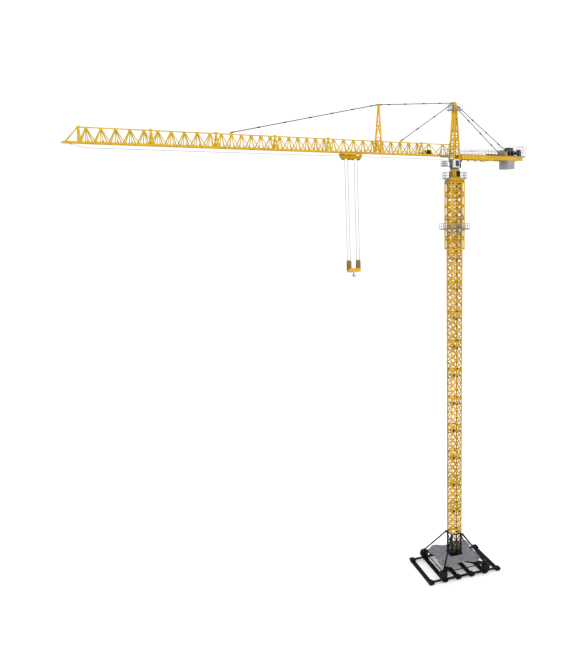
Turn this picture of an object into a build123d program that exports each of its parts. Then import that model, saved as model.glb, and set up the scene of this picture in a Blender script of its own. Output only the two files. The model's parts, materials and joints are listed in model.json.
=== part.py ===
"""Rail-mounted toy tower crane (1:87), built as separate named pieces.

Millimetres, +Z up. The origin is on the ground under the mast axis.
The jib points along -X at rest, the counter-jib along +X.
The track, undercarriage and mast stand turned about Z by base_turn.
"""
from build123d import *
from math import radians, sin, cos, atan2, degrees, hypot, sqrt
import os

os.makedirs("parts", exist_ok=True)

# ---------------------------------------------------------------- dimensions
base_turn = -13.2          # heading of track and mast relative to the jib
# track
sleeper_pitch = 35.8
sleeper_count = 6
sleeper_size = (10.0, 124.0, 4.0)
gauge_half = 57.5
rail_length = 192.0
rail_top = 8.2
rail_head = 2.2
# undercarriage
corner = 57.5
wheel_r = 6.0
wheel_z = rail_top + 0.05 + wheel_r
axle_r = 1.2
fit = 0.05                 # radial running clearance of every shaft
plate_z = 22.6             # underside of the corner plates
frame_top = 25.4
slab_z = (25.5, 31.2, 31.3, 37.0)
# mast
mast_w = 27.6
foot_top = 93.0
section_h = 69.0
section_count = 12
mast_top = 944.6
leg = 2.6
# climbing cage
cage_z = (790.9, 944.4)
cage_in = 30.0
cage_out = 33.6
cage_deck_z = 836.8
# slewing
slew_z = 969.6
turret_top = 990.6
# jib
jib_z = 997.8              # underside of the bottom chords
jib_h = 26.5
jib_half = 11.0
chord = 2.2
jib_joints = [14.0, 92.0, 207.0, 322.0, 437.0, 552.0, 667.0, 782.0]
jib_cells = [2, 5, 5, 6, 6, 5, 5]
tip_end = 808.0
# tower head
head_top = 1115.0
head_base_half = 9.3
head_top_half = 3.0
# trolley and hook
sheave_r = 3.45
trolley_sheaves = (289.8, 275.5, 267.5, 253.1)
trolley_sheave_z = 987.3
hook_sheaves = (282.65, 260.3)
hook_sheave_z = 773.5
rope_r = 0.25

JIB = Plane.XY
BASE = Plane.XY.rotated((0, 0, base_turn))


# ------------------------------------------------------------------- helpers
def spot(frame, x, y, z):
    """World position of a point given in a frame turned about Z."""
    return frame.from_local_coords(Vector(x, y, z))


def box(frame, cx, cy, z0, lx, ly, lz, turn=0.0, fillet_r=0.0):
    """Block on a horizontal profile, z0 is its underside."""
    with BuildSketch(frame.offset(z0)) as s:
        with Locations((cx, cy)):
            if fillet_r:
                RectangleRounded(lx, ly, fillet_r, rotation=turn)
            else:
                Rectangle(lx, ly, rotation=turn)
    return extrude(s.sketch, amount=lz, mode=Mode.PRIVATE)


def slab(frame, z0, z1, outline, holes=()):
    """Flat slab with a polygonal outline and polygonal holes."""
    with BuildSketch(frame.offset(z0)) as s:
        Polygon(*outline, align=None)
        for h in holes:
            Polygon(*h, align=None, mode=Mode.SUBTRACT)
    return extrude(s.sketch, amount=z1 - z0, mode=Mode.PRIVATE)


def bar(frame, p, q, w, h=None, side=None):
    """Straight rectangular bar between two points of the frame."""
    a, b = spot(frame, *p), spot(frame, *q)
    d = b - a
    n = d.normalized()
    up = Vector(0, 0, 1) if abs(n.Z) < 0.95 else frame.x_dir
    if side is not None:
        up = spot(frame, *side)
    x = up.cross(n).normalized()
    with BuildSketch(Plane(origin=a, x_dir=x, z_dir=n)) as s:
        Rectangle(w, h or w)
    return extrude(s.sketch, amount=d.length, mode=Mode.PRIVATE)


def rod(frame, p, q, r, bore=0.0):
    """Round rod, or tube when a bore is given."""
    a, b = spot(frame, *p), spot(frame, *q)
    d = b - a
    n = d.normalized()
    ref = Vector(0, 0, 1) if abs(n.Z) < 0.9 else Vector(1, 0, 0)
    with BuildSketch(Plane(origin=a, x_dir=ref.cross(n).normalized(), z_dir=n)) as s:
        Circle(r)
        if bore:
            Circle(bore, mode=Mode.SUBTRACT)
    return extrude(s.sketch, amount=d.length, mode=Mode.PRIVATE)


def net(plane, strips, t):
    """Flat lattice panel: strips (x0, y0, x1, y1, width) on a plane, t thick."""
    with BuildSketch(plane) as s:
        faces = []
        for x0, y0, x1, y1, w in strips:
            with Locations(((x0 + x1) / 2, (y0 + y1) / 2)):
                faces.append(
                    Rectangle(hypot(x1 - x0, y1 - y0), w,
                              rotation=degrees(atan2(y1 - y0, x1 - x0)),
                              mode=Mode.PRIVATE)
                )
        add(faces)
    return extrude(s.sketch, amount=t / 2, both=True, mode=Mode.PRIVATE)


def turned(center, axis, profile):
    """Body of revolution about an axis, profile is (radius, along) points."""
    n = Vector(*axis).normalized()
    ref = Vector(0, 0, 1) if abs(n.Z) < 0.9 else Vector(1, 0, 0)
    x = ref.cross(n).normalized()
    pl = Plane(origin=Vector(*center), x_dir=x, z_dir=x.cross(n))
    # local X is radial, local Y runs along the axis
    with BuildSketch(pl) as s:
        Polygon(*profile, align=None)
    return revolve(s.sketch, axis=Axis(Vector(*center), n), mode=Mode.PRIVATE)


def sheave_profile(r, half, pin, pin_half, flange=0.6):
    """Grooved disc with an integral pin."""
    return [(0, -pin_half), (pin, -pin_half), (pin, -half), (r + flange, -half),
            (r + flange, -half + 0.35), (r, -0.35), (r, 0.35),
            (r + flange, half - 0.35), (r + flange, half), (pin, half),
            (pin, pin_half), (0, pin_half)]


def rope(points, r=rope_r):
    """Thin rope along straight runs, with a ball in each bend."""
    out = []
    for a, b in zip(points[:-1], points[1:]):
        out.append(rod(JIB, a, b, r))
    for p in points[1:-1]:
        with BuildSketch(Plane.XZ.offset(-p[1])) as s:
            with Locations((p[0], p[2])):
                Circle(r)
            with Locations((p[0] + r, p[2])):
                Rectangle(2 * r, 4 * r, mode=Mode.SUBTRACT)
        out.append(revolve(s.sketch, axis=Axis((p[0], p[1], p[2]), (0, 0, 1)),
                           mode=Mode.PRIVATE))
    return out


def arc_points(cx, cz, r, a0, a1, y=0.0, n=6):
    """Points on an arc in the XZ plane, angles in degrees from +X."""
    return [(cx + r * cos(radians(a0 + (a1 - a0) * i / n)), y,
             cz + r * sin(radians(a0 + (a1 - a0) * i / n))) for i in range(n + 1)]


def ring_rail(frame, x0, x1, y0, y1, z0, h, posts, w=0.7, mid=True, open_sides=()):
    """Handrail around a rectangle: posts, top rail and knee rail."""
    out = []
    sides = {"y0": ((x0, y0), (x1, y0)), "y1": ((x0, y1), (x1, y1)),
             "x0": ((x0, y0), (x0, y1)), "x1": ((x1, y0), (x1, y1))}
    for key, (a, b) in sides.items():
        if key in open_sides:
            continue
        L = hypot(b[0] - a[0], b[1] - a[1])
        pl = Plane(origin=spot(frame, a[0], a[1], z0),
                   x_dir=spot(frame, (b[0] - a[0]) / L, (b[1] - a[1]) / L, 0),
                   z_dir=Vector(0, 0, 1).cross(
                       spot(frame, (b[0] - a[0]) / L, (b[1] - a[1]) / L, 0)) * -1)
        n = max(1, round(L / posts))
        strips = [(-w / 2, h - w / 2, L + w / 2, h - w / 2, w)]
        if mid:
            strips.append((0, h * 0.5, L, h * 0.5, w * 0.8))
        for i in range(n + 1):
            strips.append((L * i / n, 0, L * i / n, h, w))
        out.append(net(pl, strips, w))
    return out


def wall(frame, a, b, z0):
    """Vertical plane through two plan points, local X along a-b, local Y up."""
    L = hypot(b[0] - a[0], b[1] - a[1])
    xd = spot(frame, (b[0] - a[0]) / L, (b[1] - a[1]) / L, 0)
    return Plane(origin=spot(frame, a[0], a[1], z0), x_dir=xd,
                 z_dir=xd.cross(Vector(0, 0, 1)))


def save(node, name):
    """Label a finished piece and write its STEP file."""
    node.part.label = name
    export_step(node.part, "parts/" + name + ".step")


# --------------------------------------------------------------------- track
with BuildPart() as track_sleepers:
    add([box(BASE, (i - 2.5) * sleeper_pitch, 0, 0, *sleeper_size)
         for i in range(sleeper_count)])
    chamfer(track_sleepers.faces().group_by(Axis.Z)[-1].edges(), 0.6)
save(track_sleepers, "track_sleepers")

with BuildPart() as track_rails:
    for sy in (-1, 1):
        # foot, web and head of one rail
        rail_plane = Plane(origin=spot(BASE, -rail_length / 2, sy * gauge_half, 4.0),
                           x_dir=spot(BASE, 0, 1, 0), z_dir=spot(BASE, 1, 0, 0))
        with BuildSketch(rail_plane) as rail_profile:
            Polygon((-2.4, 0), (2.4, 0), (2.4, 0.7), (0.5, 1.1), (0.5, 2.9),
                    (rail_head / 2, 3.2), (rail_head / 2, 4.2), (-rail_head / 2, 4.2),
                    (-rail_head / 2, 3.2), (-0.5, 2.9), (-0.5, 1.1), (-2.4, 0.7),
                    align=None)
        extrude(amount=rail_length)
save(track_rails, "track_rails")

with BuildPart() as rail_chairs:
    chairs = []
    for i in range(sleeper_count):
        for sy in (-1, 1):
            for side in (-1, 1):
                chairs.append(box(BASE, (i - 2.5) * sleeper_pitch,
                                  sy * gauge_half + side * 5.1, 4.0, 12.0, 5.0, 4.2))
    add(chairs)
    chamfer(rail_chairs.faces().group_by(Axis.Z)[-1].edges(), 0.9)
save(rail_chairs, "rail_chairs")

# ------------------------------------------------------------- undercarriage
corners = [(-1, -1), (1, -1), (1, 1), (-1, 1)]
with BuildPart() as bogies:
    for sx, sy in corners:
        x, y = sx * corner, sy * corner
        cheek_plane = Plane(origin=spot(BASE, x, y, 0), x_dir=spot(BASE, 1, 0, 0),
                            z_dir=spot(BASE, 0, -1, 0))
        shell = []
        for side in (-1, 1):
            with BuildSketch(cheek_plane.offset(side * 3.35)) as cheek:
                Polygon((-9.5, 13), (-5.5, 9.6), (5.5, 9.6), (9.5, 13),
                        (9.5, 22.5), (-9.5, 22.5), align=None)
                with Locations((0, wheel_z)):
                    Circle(axle_r + fit, mode=Mode.SUBTRACT)
            shell.append(extrude(cheek.sketch, amount=0.75, both=True,
                                 mode=Mode.PRIVATE))
        shell.append(box(BASE, x, y, 21.5, 19.0, 8.2, 1.0))
        for ex in (-1, 1):
            shell.append(box(BASE, x + ex * 8.9, y, 13.2, 1.2, 8.2, 9.3))
            shell.append(box(BASE, x + ex * 10.2, y, 16.0, 1.6, 4.0, 3.0))
        add(shell)
save(bogies, "bogies")

for k, (sx, sy) in enumerate(corners):
    c = spot(BASE, sx * corner, sy * corner, wheel_z)
    with BuildPart() as wheel:
        add(turned((c.X, c.Y, c.Z), tuple(spot(BASE, 0, 1, 0)),
                   [(0, -4.6), (axle_r, -4.6), (axle_r, -2.3), (wheel_r + 1.0, -2.3),
                    (wheel_r + 1.0, -1.7), (wheel_r, -1.45), (wheel_r, 1.45),
                    (wheel_r + 1.0, 1.7), (wheel_r + 1.0, 2.3), (axle_r, 2.3),
                    (axle_r, 4.6), (0, 4.6)]))
    save(wheel, "rail_wheel_%d" % (k + 1))

with BuildPart() as cross_frame:
    beams = []
    for a in (45, -45):
        beams.append(box(BASE, 0, 0, 17.5, 132.0, 7.0, frame_top - 17.5, turn=a))
        beams.append(box(BASE, 0, 0, frame_top - 1.4, 132.0, 9.0, 1.4, turn=a))
    for sx, sy in corners:
        beams.append(box(BASE, sx * 50.0, sy * 50.0, plate_z, 22.0, 9.0,
                         frame_top - plate_z, turn=45 * sx * sy))
        beams.append(box(BASE, sx * corner, sy * corner, plate_z, 14.0, 14.0,
                         frame_top - plate_z, fillet_r=2.0))
    beams.append(box(BASE, 0, 0, 17.5, 30.0, 30.0, frame_top - 17.5))
    add(beams)
save(cross_frame, "cross_frame")

with BuildPart() as tie_rods:
    for s in (-1, 1):
        add(bar(BASE, (-50.2, s * corner, 24.0), (50.2, s * corner, 24.0), 1.8))
        add(bar(BASE, (s * corner, -50.2, 24.0), (s * corner, 50.2, 24.0), 1.8))
save(tie_rods, "tie_rods")

# ballast slabs: two layers, each of two halves, with a square well for the mast
outline_y = [(38, 54), (26, 54), (12, 44), (0.15, 44)]


def half_slab(z0, z1, grow, sx):
    """One half of a ballast layer, on the side sx of the mast."""
    pts = [(0.15, 17.0), (17.0, 17.0), (17.0, -17.0), (0.15, -17.0), (0.15, -44 + grow),
           (12, -44 + grow), (26, -54 + grow), (38, -54 + grow), (56 - grow, -36),
           (56 - grow, -22), (47 - grow, -9), (47 - grow, 9), (56 - grow, 22),
           (56 - grow, 36), (38, 54 - grow), (26, 54 - grow), (12, 44 - grow),
           (0.15, 44 - grow)]
    if sx < 0:
        pts = [(-a, b) for a, b in reversed(pts)]
    return slab(BASE, z0, z1, pts)


with BuildPart() as ballast_lower:
    add([half_slab(slab_z[0], slab_z[1], 14.0, s) for s in (-1, 1)])
save(ballast_lower, "ballast_lower")

with BuildPart() as ballast_upper:
    add([half_slab(slab_z[2], slab_z[3], 1.6, s) for s in (-1, 1)])
    chamfer(ballast_upper.faces().group_by(Axis.Z)[-1].edges(), 0.5)
save(ballast_upper, "ballast_upper")

half = mast_w / 2
with BuildPart() as mast_foot:
    pieces = []
    for sx, sy in corners:
        pieces.append(box(BASE, sx * (half - 1.7), sy * (half - 1.7), frame_top,
                          3.4, 3.4, foot_top - frame_top))
    pieces.append(slab(BASE, frame_top, frame_top + 2.4,
                       [(-15, -15), (15, -15), (15, 15), (-15, 15)],
                       [[(-9, -9), (9, -9), (9, 9), (-9, 9)]]))
    for a, b in (((-1, -1), (1, -1)), ((1, -1), (1, 1)), ((1, 1), (-1, 1)),
                 ((-1, 1), (-1, -1))):
        pl = wall(BASE, (a[0] * (half - 0.9), a[1] * (half - 0.9)),
                  (b[0] * (half - 0.9), b[1] * (half - 0.9)), 0)
        L = mast_w - 1.8
        pieces.append(net(pl, [(0, 91.4, L, 91.4, 3.2), (0, 58.5, L, 58.5, 2.6),
                               (0, 28, L, 58, 1.8), (0, 59, L, 90, 1.8),
                               (L, 28, 0, 58, 1.8), (L, 59, 0, 90, 1.8)], 1.2))
    add(pieces)
save(mast_foot, "mast_foot")

with BuildPart() as foot_struts:
    for sx, sy in corners:
        add(bar(BASE, (sx * 15.6, sy * 15.6, 89.0), (sx * 55.6, sy * 55.6, 28.6), 3.0))
        add(box(BASE, sx * 15.6, sy * 15.6, 86.0, 3.5, 3.5, 5.4))
        add(bar(BASE, (sx * 55.9, sy * 55.9, frame_top), (sx * 55.9, sy * 55.9, 30.0),
                4.0))
save(foot_struts, "foot_struts")


def mast_unit(z0, h, bays, caps=True):
    """One square mast section: four legs, four braced faces, end frames."""
    pieces = [box(BASE, sx * (half - leg / 2), sy * (half - leg / 2), z0, leg, leg, h)
              for sx, sy in corners]
    o = half - 0.8
    for k, (a, b) in enumerate((((-1, -1), (1, -1)), ((1, -1), (1, 1)),
                                ((1, 1), (-1, 1)), ((-1, 1), (-1, -1)))):
        pl = wall(BASE, (a[0] * o, a[1] * o), (b[0] * o, b[1] * o), z0)
        L = 2 * o
        strips = [(0, 0.9, L, 0.9, 1.8), (0, h - 0.9, L, h - 0.9, 1.8)]
        bh = (h - 1.8) / bays
        for j in range(bays):
            zb = 0.9 + j * bh
            strips.append((0, zb, L, zb + bh / 2, 1.5))
            strips.append((L, zb + bh / 2, 0, zb + bh, 1.5))
            strips.append((L, zb, 0, zb + bh / 2, 1.5))
            strips.append((0, zb + bh / 2, L, zb + bh, 1.5))
        pieces.append(net(pl, strips, 0.9))
    return pieces


# twelve identical sections and the short head section, each a solid of its own
with BuildPart() as mast_sections:
    for j in range(section_count):
        z0 = foot_top + j * section_h
        with BuildPart(mode=Mode.PRIVATE) as one_section:
            add(mast_unit(z0 + 0.02, section_h - 0.04, 2))
        add(one_section.part)
    with BuildPart(mode=Mode.PRIVATE) as top_section:
        add(mast_unit(921.02, mast_top - 921.04, 1))
    add(top_section.part)
save(mast_sections, "mast_sections")

with BuildPart() as mast_landings:
    # one small landing just above each section joint, with a ladder between
    for k in range(1, section_count + 1):
        z = foot_top + k * section_h - 14.0
        add(slab(BASE, z, z + 0.9, [(-11.0, -11.0), (11.0, -11.0), (11.0, 2.0),
                                    (2.0, 2.0), (2.0, 11.0), (-11.0, 11.0)]))
save(mast_landings, "mast_landings")

with BuildPart() as mast_ladder:
    lad = Plane(origin=spot(BASE, 3.6, 7.0, 0), x_dir=spot(BASE, 1, 0, 0),
                z_dir=spot(BASE, 0, -1, 0))
    strips = [(0, 30.0, 0, 930.0, 0.8), (4.6, 30.0, 4.6, 930.0, 0.8)]
    strips += [(0, 33.0 + 6.0 * i, 4.6, 33.0 + 6.0 * i, 0.6) for i in range(149)]
    add(net(lad, strips, 0.8))
save(mast_ladder, "mast_ladder")

# -------------------------------------------------------------- climbing cage
with BuildPart() as climbing_cage:
    ci, co = cage_in / 2, cage_out / 2
    cw = co - ci
    cz0, cz1 = cage_z
    pieces = [box(BASE, sx * (ci + cw / 2), sy * (ci + cw / 2), cz0, cw, cw, cz1 - cz0)
              for sx, sy in corners]
    for a, b in (((-1, -1), (1, -1)), ((1, -1), (1, 1)), ((1, 1), (-1, 1)),
                 ((-1, 1), (-1, -1))):
        o = co - 0.8
        pl = wall(BASE, (a[0] * o, a[1] * o), (b[0] * o, b[1] * o), cz0)
        L, H = 2 * o, cz1 - cz0
        strips = [(0, 1.3, L, 1.3, 2.6), (0, H - 2.2, L, H - 2.2, 4.4)]
        levels = [1.3, 26.0, 45.9, 72.0, 98.0, 124.0, H - 2.2]
        for i, (za, zb) in enumerate(zip(levels[:-1], levels[1:])):
            strips.append((0, zb, L, zb, 1.8))
            if i % 2:
                strips.append((0, za, L, zb, 1.4))
            else:
                strips.append((L, za, 0, zb, 1.4))
        pieces.append(net(pl, strips, 1.0))
    add(pieces)
save(climbing_cage, "climbing_cage")

with BuildPart() as cage_platform:
    e = 26.0
    g = cage_out / 2 + 0.1
    pieces = [slab(BASE, cage_deck_z, cage_deck_z + 1.0,
                   [(-e, -e), (e, -e), (e, e), (-e, e)],
                   [[(-g, -g), (g, -g), (g, g), (-g, g)]])]
    pieces += ring_rail(BASE, -e + 0.4, e - 0.4, -e + 0.4, e - 0.4,
                        cage_deck_z + 0.5, 13.5, 10.0)
    add(pieces)
save(cage_platform, "cage_platform")

# ------------------------------------------------------------ tower top, slew
with BuildPart() as tower_funnel:
    # four-sided flare on the mast, then a narrow ribbed neck with the ring seat
    with BuildSketch(BASE.offset(mast_top)) as f0:
        Rectangle(33.0, 33.0)
        Rectangle(27.0, 27.0, mode=Mode.SUBTRACT)
    extrude(amount=2.6)
    with BuildSketch(BASE.offset(mast_top + 2.6)) as f1:
        Rectangle(31.0, 31.0)
    with BuildSketch(BASE.offset(954.0)) as f2:
        Rectangle(18.0, 18.0)
    loft()
    with BuildSketch(BASE.offset(mast_top + 2.6)) as f3:
        Rectangle(27.0, 27.0)
    with BuildSketch(BASE.offset(954.0)) as f4:
        Rectangle(15.0, 15.0)
    loft(mode=Mode.SUBTRACT)
    with BuildSketch(BASE.offset(954.0)) as f5:
        Rectangle(18.0, 18.0)
        Rectangle(15.0, 15.0, mode=Mode.SUBTRACT)
    extrude(amount=11.0)
    with BuildSketch(BASE.offset(965.0)) as f6:
        Rectangle(18.0, 18.0)
        Circle(5.05, mode=Mode.SUBTRACT)
    extrude(amount=1.6)
    with BuildSketch(BASE.offset(966.6)) as f7:
        Circle(10.0)
        Circle(5.05, mode=Mode.SUBTRACT)
    extrude(amount=slew_z - 966.6 - 0.15)
    ribs = []
    for u in (-8.6, -4.3, 0.0, 4.3, 8.6):
        for sy in (-1, 1):
            ribs.append(box(BASE, u, sy * 9.15, 953.4, 0.8, 0.9, 13.2))
            ribs.append(box(BASE, sy * 9.15, u, 953.4, 0.9, 0.8, 13.2))
    add(ribs)
save(tower_funnel, "tower_funnel")

with BuildPart() as service_balconies:
    pieces = []
    for sx in (-1, 1):
        x0, x1 = (17.0, 27.0) if sx > 0 else (-27.0, -17.0)
        pieces.append(slab(BASE, 949.0, 950.0, [(x0, -8), (x1, -8), (x1, 8), (x0, 8)]))
        pieces += ring_rail(BASE, x0 + 0.4, x1 - 0.4, -7.6, 7.6, 949.5, 14.5, 5.0,
                            open_sides=("x0",) if sx > 0 else ("x1",))
        pieces.append(box(BASE, sx * 17.4, 0, 945.0, 1.6, 12.0, 4.2))
    add(pieces)
save(service_balconies, "service_balconies")

with BuildPart() as junction_box:
    # cable box on one face of the neck
    add(box(BASE, 4.6, -10.8, 954.6, 7.4, 2.2, 11.8))
    chamfer(junction_box.edges().filter_by(Axis.Z), 0.5)
save(junction_box, "junction_box")

with BuildPart() as slewing_turret:
    # dark slewing ring with its king pin, and the turret box above it
    pieces = [turned((0, 0, 0), (0, 0, 1),
                     [(0, 966.0), (5.0, 966.0), (5.0, slew_z), (10.6, slew_z),
                      (10.6, 972.6), (9.6, 973.4), (0, 973.4)])]
    pieces.append(box(JIB, 0, 0, 973.4, 17.2, 17.2, 12.6, fillet_r=1.0))
    pieces.append(box(JIB, 2.4, 0, 986.0, 25.2, 17.8, turret_top - 986.0))
    add(pieces)
save(slewing_turret, "slewing_turret")

with BuildPart() as slew_gearbox:
    for sy in (-1, 1):
        add(turned((11.6, sy * 5.0, 0), (0, 0, 1),
                   [(0, 973.9), (2.6, 973.9), (2.6, 981.0), (1.9, 982.5), (1.9, 985.95),
                    (0, 985.95)]))
save(slew_gearbox, "slew_gearbox")

with BuildPart() as cab:
    # driver's cab on the near side of the turret
    cab_shell = box(JIB, -7.0, -13.9, 973.5, 12.6, 9.6, 16.5, fillet_r=1.2)
    add(cab_shell)
    with BuildSketch(Plane.XZ.offset(18.1)) as cab_front:
        with Locations((-7.4, 981.8)):
            Rectangle(10.2, 13.4)
    extrude(amount=1.2, mode=Mode.SUBTRACT)
save(cab, "cab")

with BuildPart() as cab_window:
    add(box(JIB, -7.4, -18.35, 975.2, 9.8, 0.4, 13.2))
save(cab_window, "cab_window")

with BuildPart() as side_balcony:
    # railed balcony in front of the turret, and a walkway beside the jib root
    pieces = [slab(JIB, 976.0, 977.0, [(-35, -6), (-24, -6), (-24, -2), (-8.7, -2),
                                       (-8.7, 2), (-24, 2), (-24, 6), (-35, 6)])]
    pieces += ring_rail(JIB, -34.6, -24.4, -5.6, 5.6, 976.5, 11.6, 3.6)
    pieces.append(slab(JIB, 994.0, 995.0, [(-52, -19), (-19, -19), (-19, -12.4), (-52, -12.4)]))
    pieces += ring_rail(JIB, -51.6, -19.4, -18.6, -12.8, 994.5, 17.0, 5.0,
                        open_sides=("y1",))
    add(pieces)
save(side_balcony, "side_balcony")

# ---------------------------------------------------------------- tower head
with BuildPart() as tower_head:
    hz0, hz1 = turret_top, head_top
    pieces = []
    for sx, sy in corners:
        pieces.append(bar(JIB, (sx * (head_base_half - 1.1), sy * (head_base_half - 1.1), hz0 + 0.1),
                          (sx * (head_top_half - 0.9), sy * (head_top_half - 0.9), hz1 - 6),
                          2.2))
    levels = [992.2, 1005.5, 1026.5, 1044.0, 1060.0, 1074.0, 1086.0, 1108.6]

    def head_half(z):
        return head_base_half + (head_top_half - head_base_half) * (z - hz0) / (hz1 - 6 - hz0)

    slope = (head_base_half - head_top_half) / (hz1 - 6 - hz0)
    for sx, sy in ((0, -1), (1, 0), (0, 1), (-1, 0)):
        n = Vector(sx, sy, slope).normalized()
        xd = Vector(0, 0, 1).cross(n).normalized()
        o = head_base_half - 0.7
        pl = Plane(origin=Vector(sx * o, sy * o, hz0), x_dir=xd, z_dir=n)
        k = sqrt(1 + slope * slope)
        strips = []
        for i, z in enumerate(levels):
            u = (z - hz0) * k
            hw = head_half(z) - 0.9
            strips.append((-hw, u, hw, u, 1.8 if i < 2 else 1.2))
            if i and i < len(levels) - 1:
                z2 = levels[i + 1]
                u2, hw2 = (z2 - hz0) * k, head_half(z2) - 0.9
                if i % 2:
                    strips.append((-hw, u, hw2, u2, 1.2))
                else:
                    strips.append((hw, u, -hw2, u2, 1.2))
        pieces.append(net(pl, strips, 1.0))
    pieces.append(box(JIB, 0, 0, hz1 - 7.0, 7.4, 7.4, 4.0))
    pieces.append(box(JIB, 0, 0, hz1 - 3.2, 5.6, 5.0, 3.2))
    # ears for the pendants
    pieces.append(bar(JIB, (-3.0, 0, 1112.2), (-8.6, 0, 1112.2), 1.2, 3.0))
    for sy in (-1, 1):
        pieces.append(bar(JIB, (2.0, sy * 4.0, 1106.5), (7.0, sy * 4.0, 1104.8), 1.0, 3.0))
    pieces.append(box(JIB, 3.0, 0, 1104.8, 1.8, 8.6, 2.4))
    # solid plate on the front face, below the platform
    n = Vector(-1, 0, slope).normalized()
    pl = Plane(origin=Vector(-(head_half(1056) + 0.05), 0, 1056),
               x_dir=Vector(0, 0, 1).cross(n).normalized(), z_dir=n)
    with BuildSketch(pl) as hp:
        Polygon((-head_half(1056) + 0.4, 0), (head_half(1056) - 0.4, 0),
                (head_half(1096) - 0.4, 40), (-head_half(1096) + 0.4, 40), align=None)
    pieces.append(extrude(hp.sketch, amount=0.35, both=True, mode=Mode.PRIVATE))
    add(pieces)
save(tower_head, "tower_head")

with BuildPart() as head_platform:
    pieces = []
    g = 4.8
    pieces.append(slab(JIB, 1097.0, 1097.8, [(-13, -12), (13, -12), (13, 12), (-13, 12)],
                       [[(-g, -g), (g, -g), (g, g), (-g, g)]]))
    pieces += ring_rail(JIB, -12.6, 12.6, -11.6, 11.6, 1097.4, 12.5, 6.2, w=0.6,
                        open_sides=("x1",))
    add(pieces)
save(head_platform, "head_platform")


# ------------------------------------------------------------------------ jib
def jib_unit(t0, t1, cells):
    """Triangular jib section between t0 and t1 (distance from the mast)."""
    x0, x1 = -(t1 - 0.02), -(t0 + 0.02)
    zb = jib_z + chord / 2
    zt = jib_z + jib_h - chord / 2
    pieces = []
    for y in (-jib_half, jib_half):
        pieces.append(bar(JIB, (x0, y, zb), (x1, y, zb), chord))
    pieces.append(bar(JIB, (x0, 0, zt), (x1, 0, zt), chord))
    L = x1 - x0
    pitch = L / cells
    side_h = hypot(jib_half, zt - zb)
    for sy in (-1, 1):
        up = Vector(0, -sy * jib_half, zt - zb).normalized()
        pl = Plane(origin=Vector(x0, sy * jib_half, zb), x_dir=(1, 0, 0),
                   z_dir=Vector(1, 0, 0).cross(up))
        strips = [(0.9, 0, 0.9, side_h, 1.5), (L - 0.9, 0, L - 0.9, side_h, 1.5)]
        for i in range(cells):
            a = i * pitch
            strips.append((max(a, 0.9), 0, a + pitch / 2, side_h, 1.5))
            strips.append((a + pitch / 2, side_h, min(a + pitch, L - 0.9), 0, 1.5))
        pieces.append(net(pl, strips, 0.9))
    pl = Plane(origin=Vector(x0, 0, zb), x_dir=(1, 0, 0), z_dir=(0, 0, 1))
    strips = [(0.9, -jib_half, 0.9, jib_half, 1.4), (L - 0.9, -jib_half, L - 0.9, jib_half, 1.4)]
    for i in range(cells):
        a = i * pitch
        s = 1 if i % 2 else -1
        if i:
            strips.append((a, -jib_half, a, jib_half, 1.4))
        strips.append((a + 0.5, -s * jib_half, a + pitch - 0.5, s * jib_half, 1.3))
    pieces.append(net(pl, strips, 0.9))
    # joint lugs standing on the top chord
    for xe in (x0 + 1.4, x1 - 1.4):
        pieces.append(box(JIB, xe, 0, jib_z + jib_h - 0.2, 2.4, 1.2, 2.0))
    return pieces


for k in range(7):
    name = "jib_root" if k == 0 else "jib_section_%d" % k
    with BuildPart() as jib_piece:
        pieces = jib_unit(jib_joints[k], jib_joints[k + 1], jib_cells[k])
        if k == 0:
            # hinge lugs reaching back to the tower head
            for sy in (-1, 1):
                pieces.append(bar(JIB, (-15.0, sy * jib_half, jib_z + 1.1),
                                  (-9.45, sy * jib_half, jib_z + 1.1), 1.8, 2.2))
        if k == 1:
            # lug for the short pendant
            pieces.append(box(JIB, -147.0, 0, jib_z + jib_h - 0.2, 5.0, 1.2, 3.6))
        if k == 4:
            # lug for the long pendant
            pieces.append(box(JIB, -524.0, 0, jib_z + jib_h - 0.2, 5.0, 1.2, 3.6))
        add(pieces)
    save(jib_piece, name)

with BuildPart() as jib_tip:
    x1 = -(jib_joints[-1] + 0.02)
    zb = jib_z + chord / 2
    zt = jib_z + jib_h - chord / 2
    pieces = []
    for y in (-jib_half, jib_half):
        pieces.append(bar(JIB, (x1, y, zb), (-tip_end + 1, y, zb), chord))
        pieces.append(bar(JIB, (x1 - 1.2, 0, zt - 0.5), (-tip_end + 4, y * 0.92, zb), 1.4))
        pieces.append(bar(JIB, (x1 - 0.9, 0, zt), (x1 - 0.9, y, zb), 1.2))
    pieces.append(box(JIB, x1 - 1.4, 0, jib_z + jib_h - 2.4, 2.6, 2.4, 2.4))
    pieces.append(box(JIB, -tip_end + 1.2, 0, jib_z, 2.4, 2 * jib_half + chord, chord))
    pieces.append(box(JIB, x1 - 0.7, 0, jib_z + 0.4, 1.4, 2 * jib_half, 1.4))
    pieces.append(box(JIB, -796.0, 0, jib_z - 1.6, 4.0, 2.4, 2.4))
    pieces.append(box(JIB, -796.0, 0, jib_z + 0.4, 2.0, 2 * jib_half, 1.4))
    add(pieces)
save(jib_tip, "jib_tip")

# -------------------------------------------------------- pendants and strut
with BuildPart() as jib_strut:
    top = (-201.0, 1095.0)
    pieces = []
    for sy in (-1, 1):
        pieces.append(bar(JIB, (-205.2, sy * 13.9, jib_z + 0.6), (-201.4, sy * 1.2, 1093.0), 1.9))
        pieces.append(box(JIB, -205.2, sy * 13.2, jib_z + 0.4, 9.0, 1.9, 2.6))
    for z, hw in ((1031.0, 8.3), (1062.0, 4.6)):
        f = (z - jib_z) / (1093.0 - jib_z)
        x = -205.2 + f * 3.8
        pieces.append(bar(JIB, (x, -hw - 0.6, z), (x, hw + 0.6, z), 1.5))
    pieces.append(box(JIB, -201.2, 0, 1090.6, 4.6, 4.4, 3.6))
    pieces.append(box(JIB, -201.2, 0, 1093.6, 7.0, 1.2, 3.6))
    add(pieces)
save(jib_strut, "jib_strut")


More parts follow.
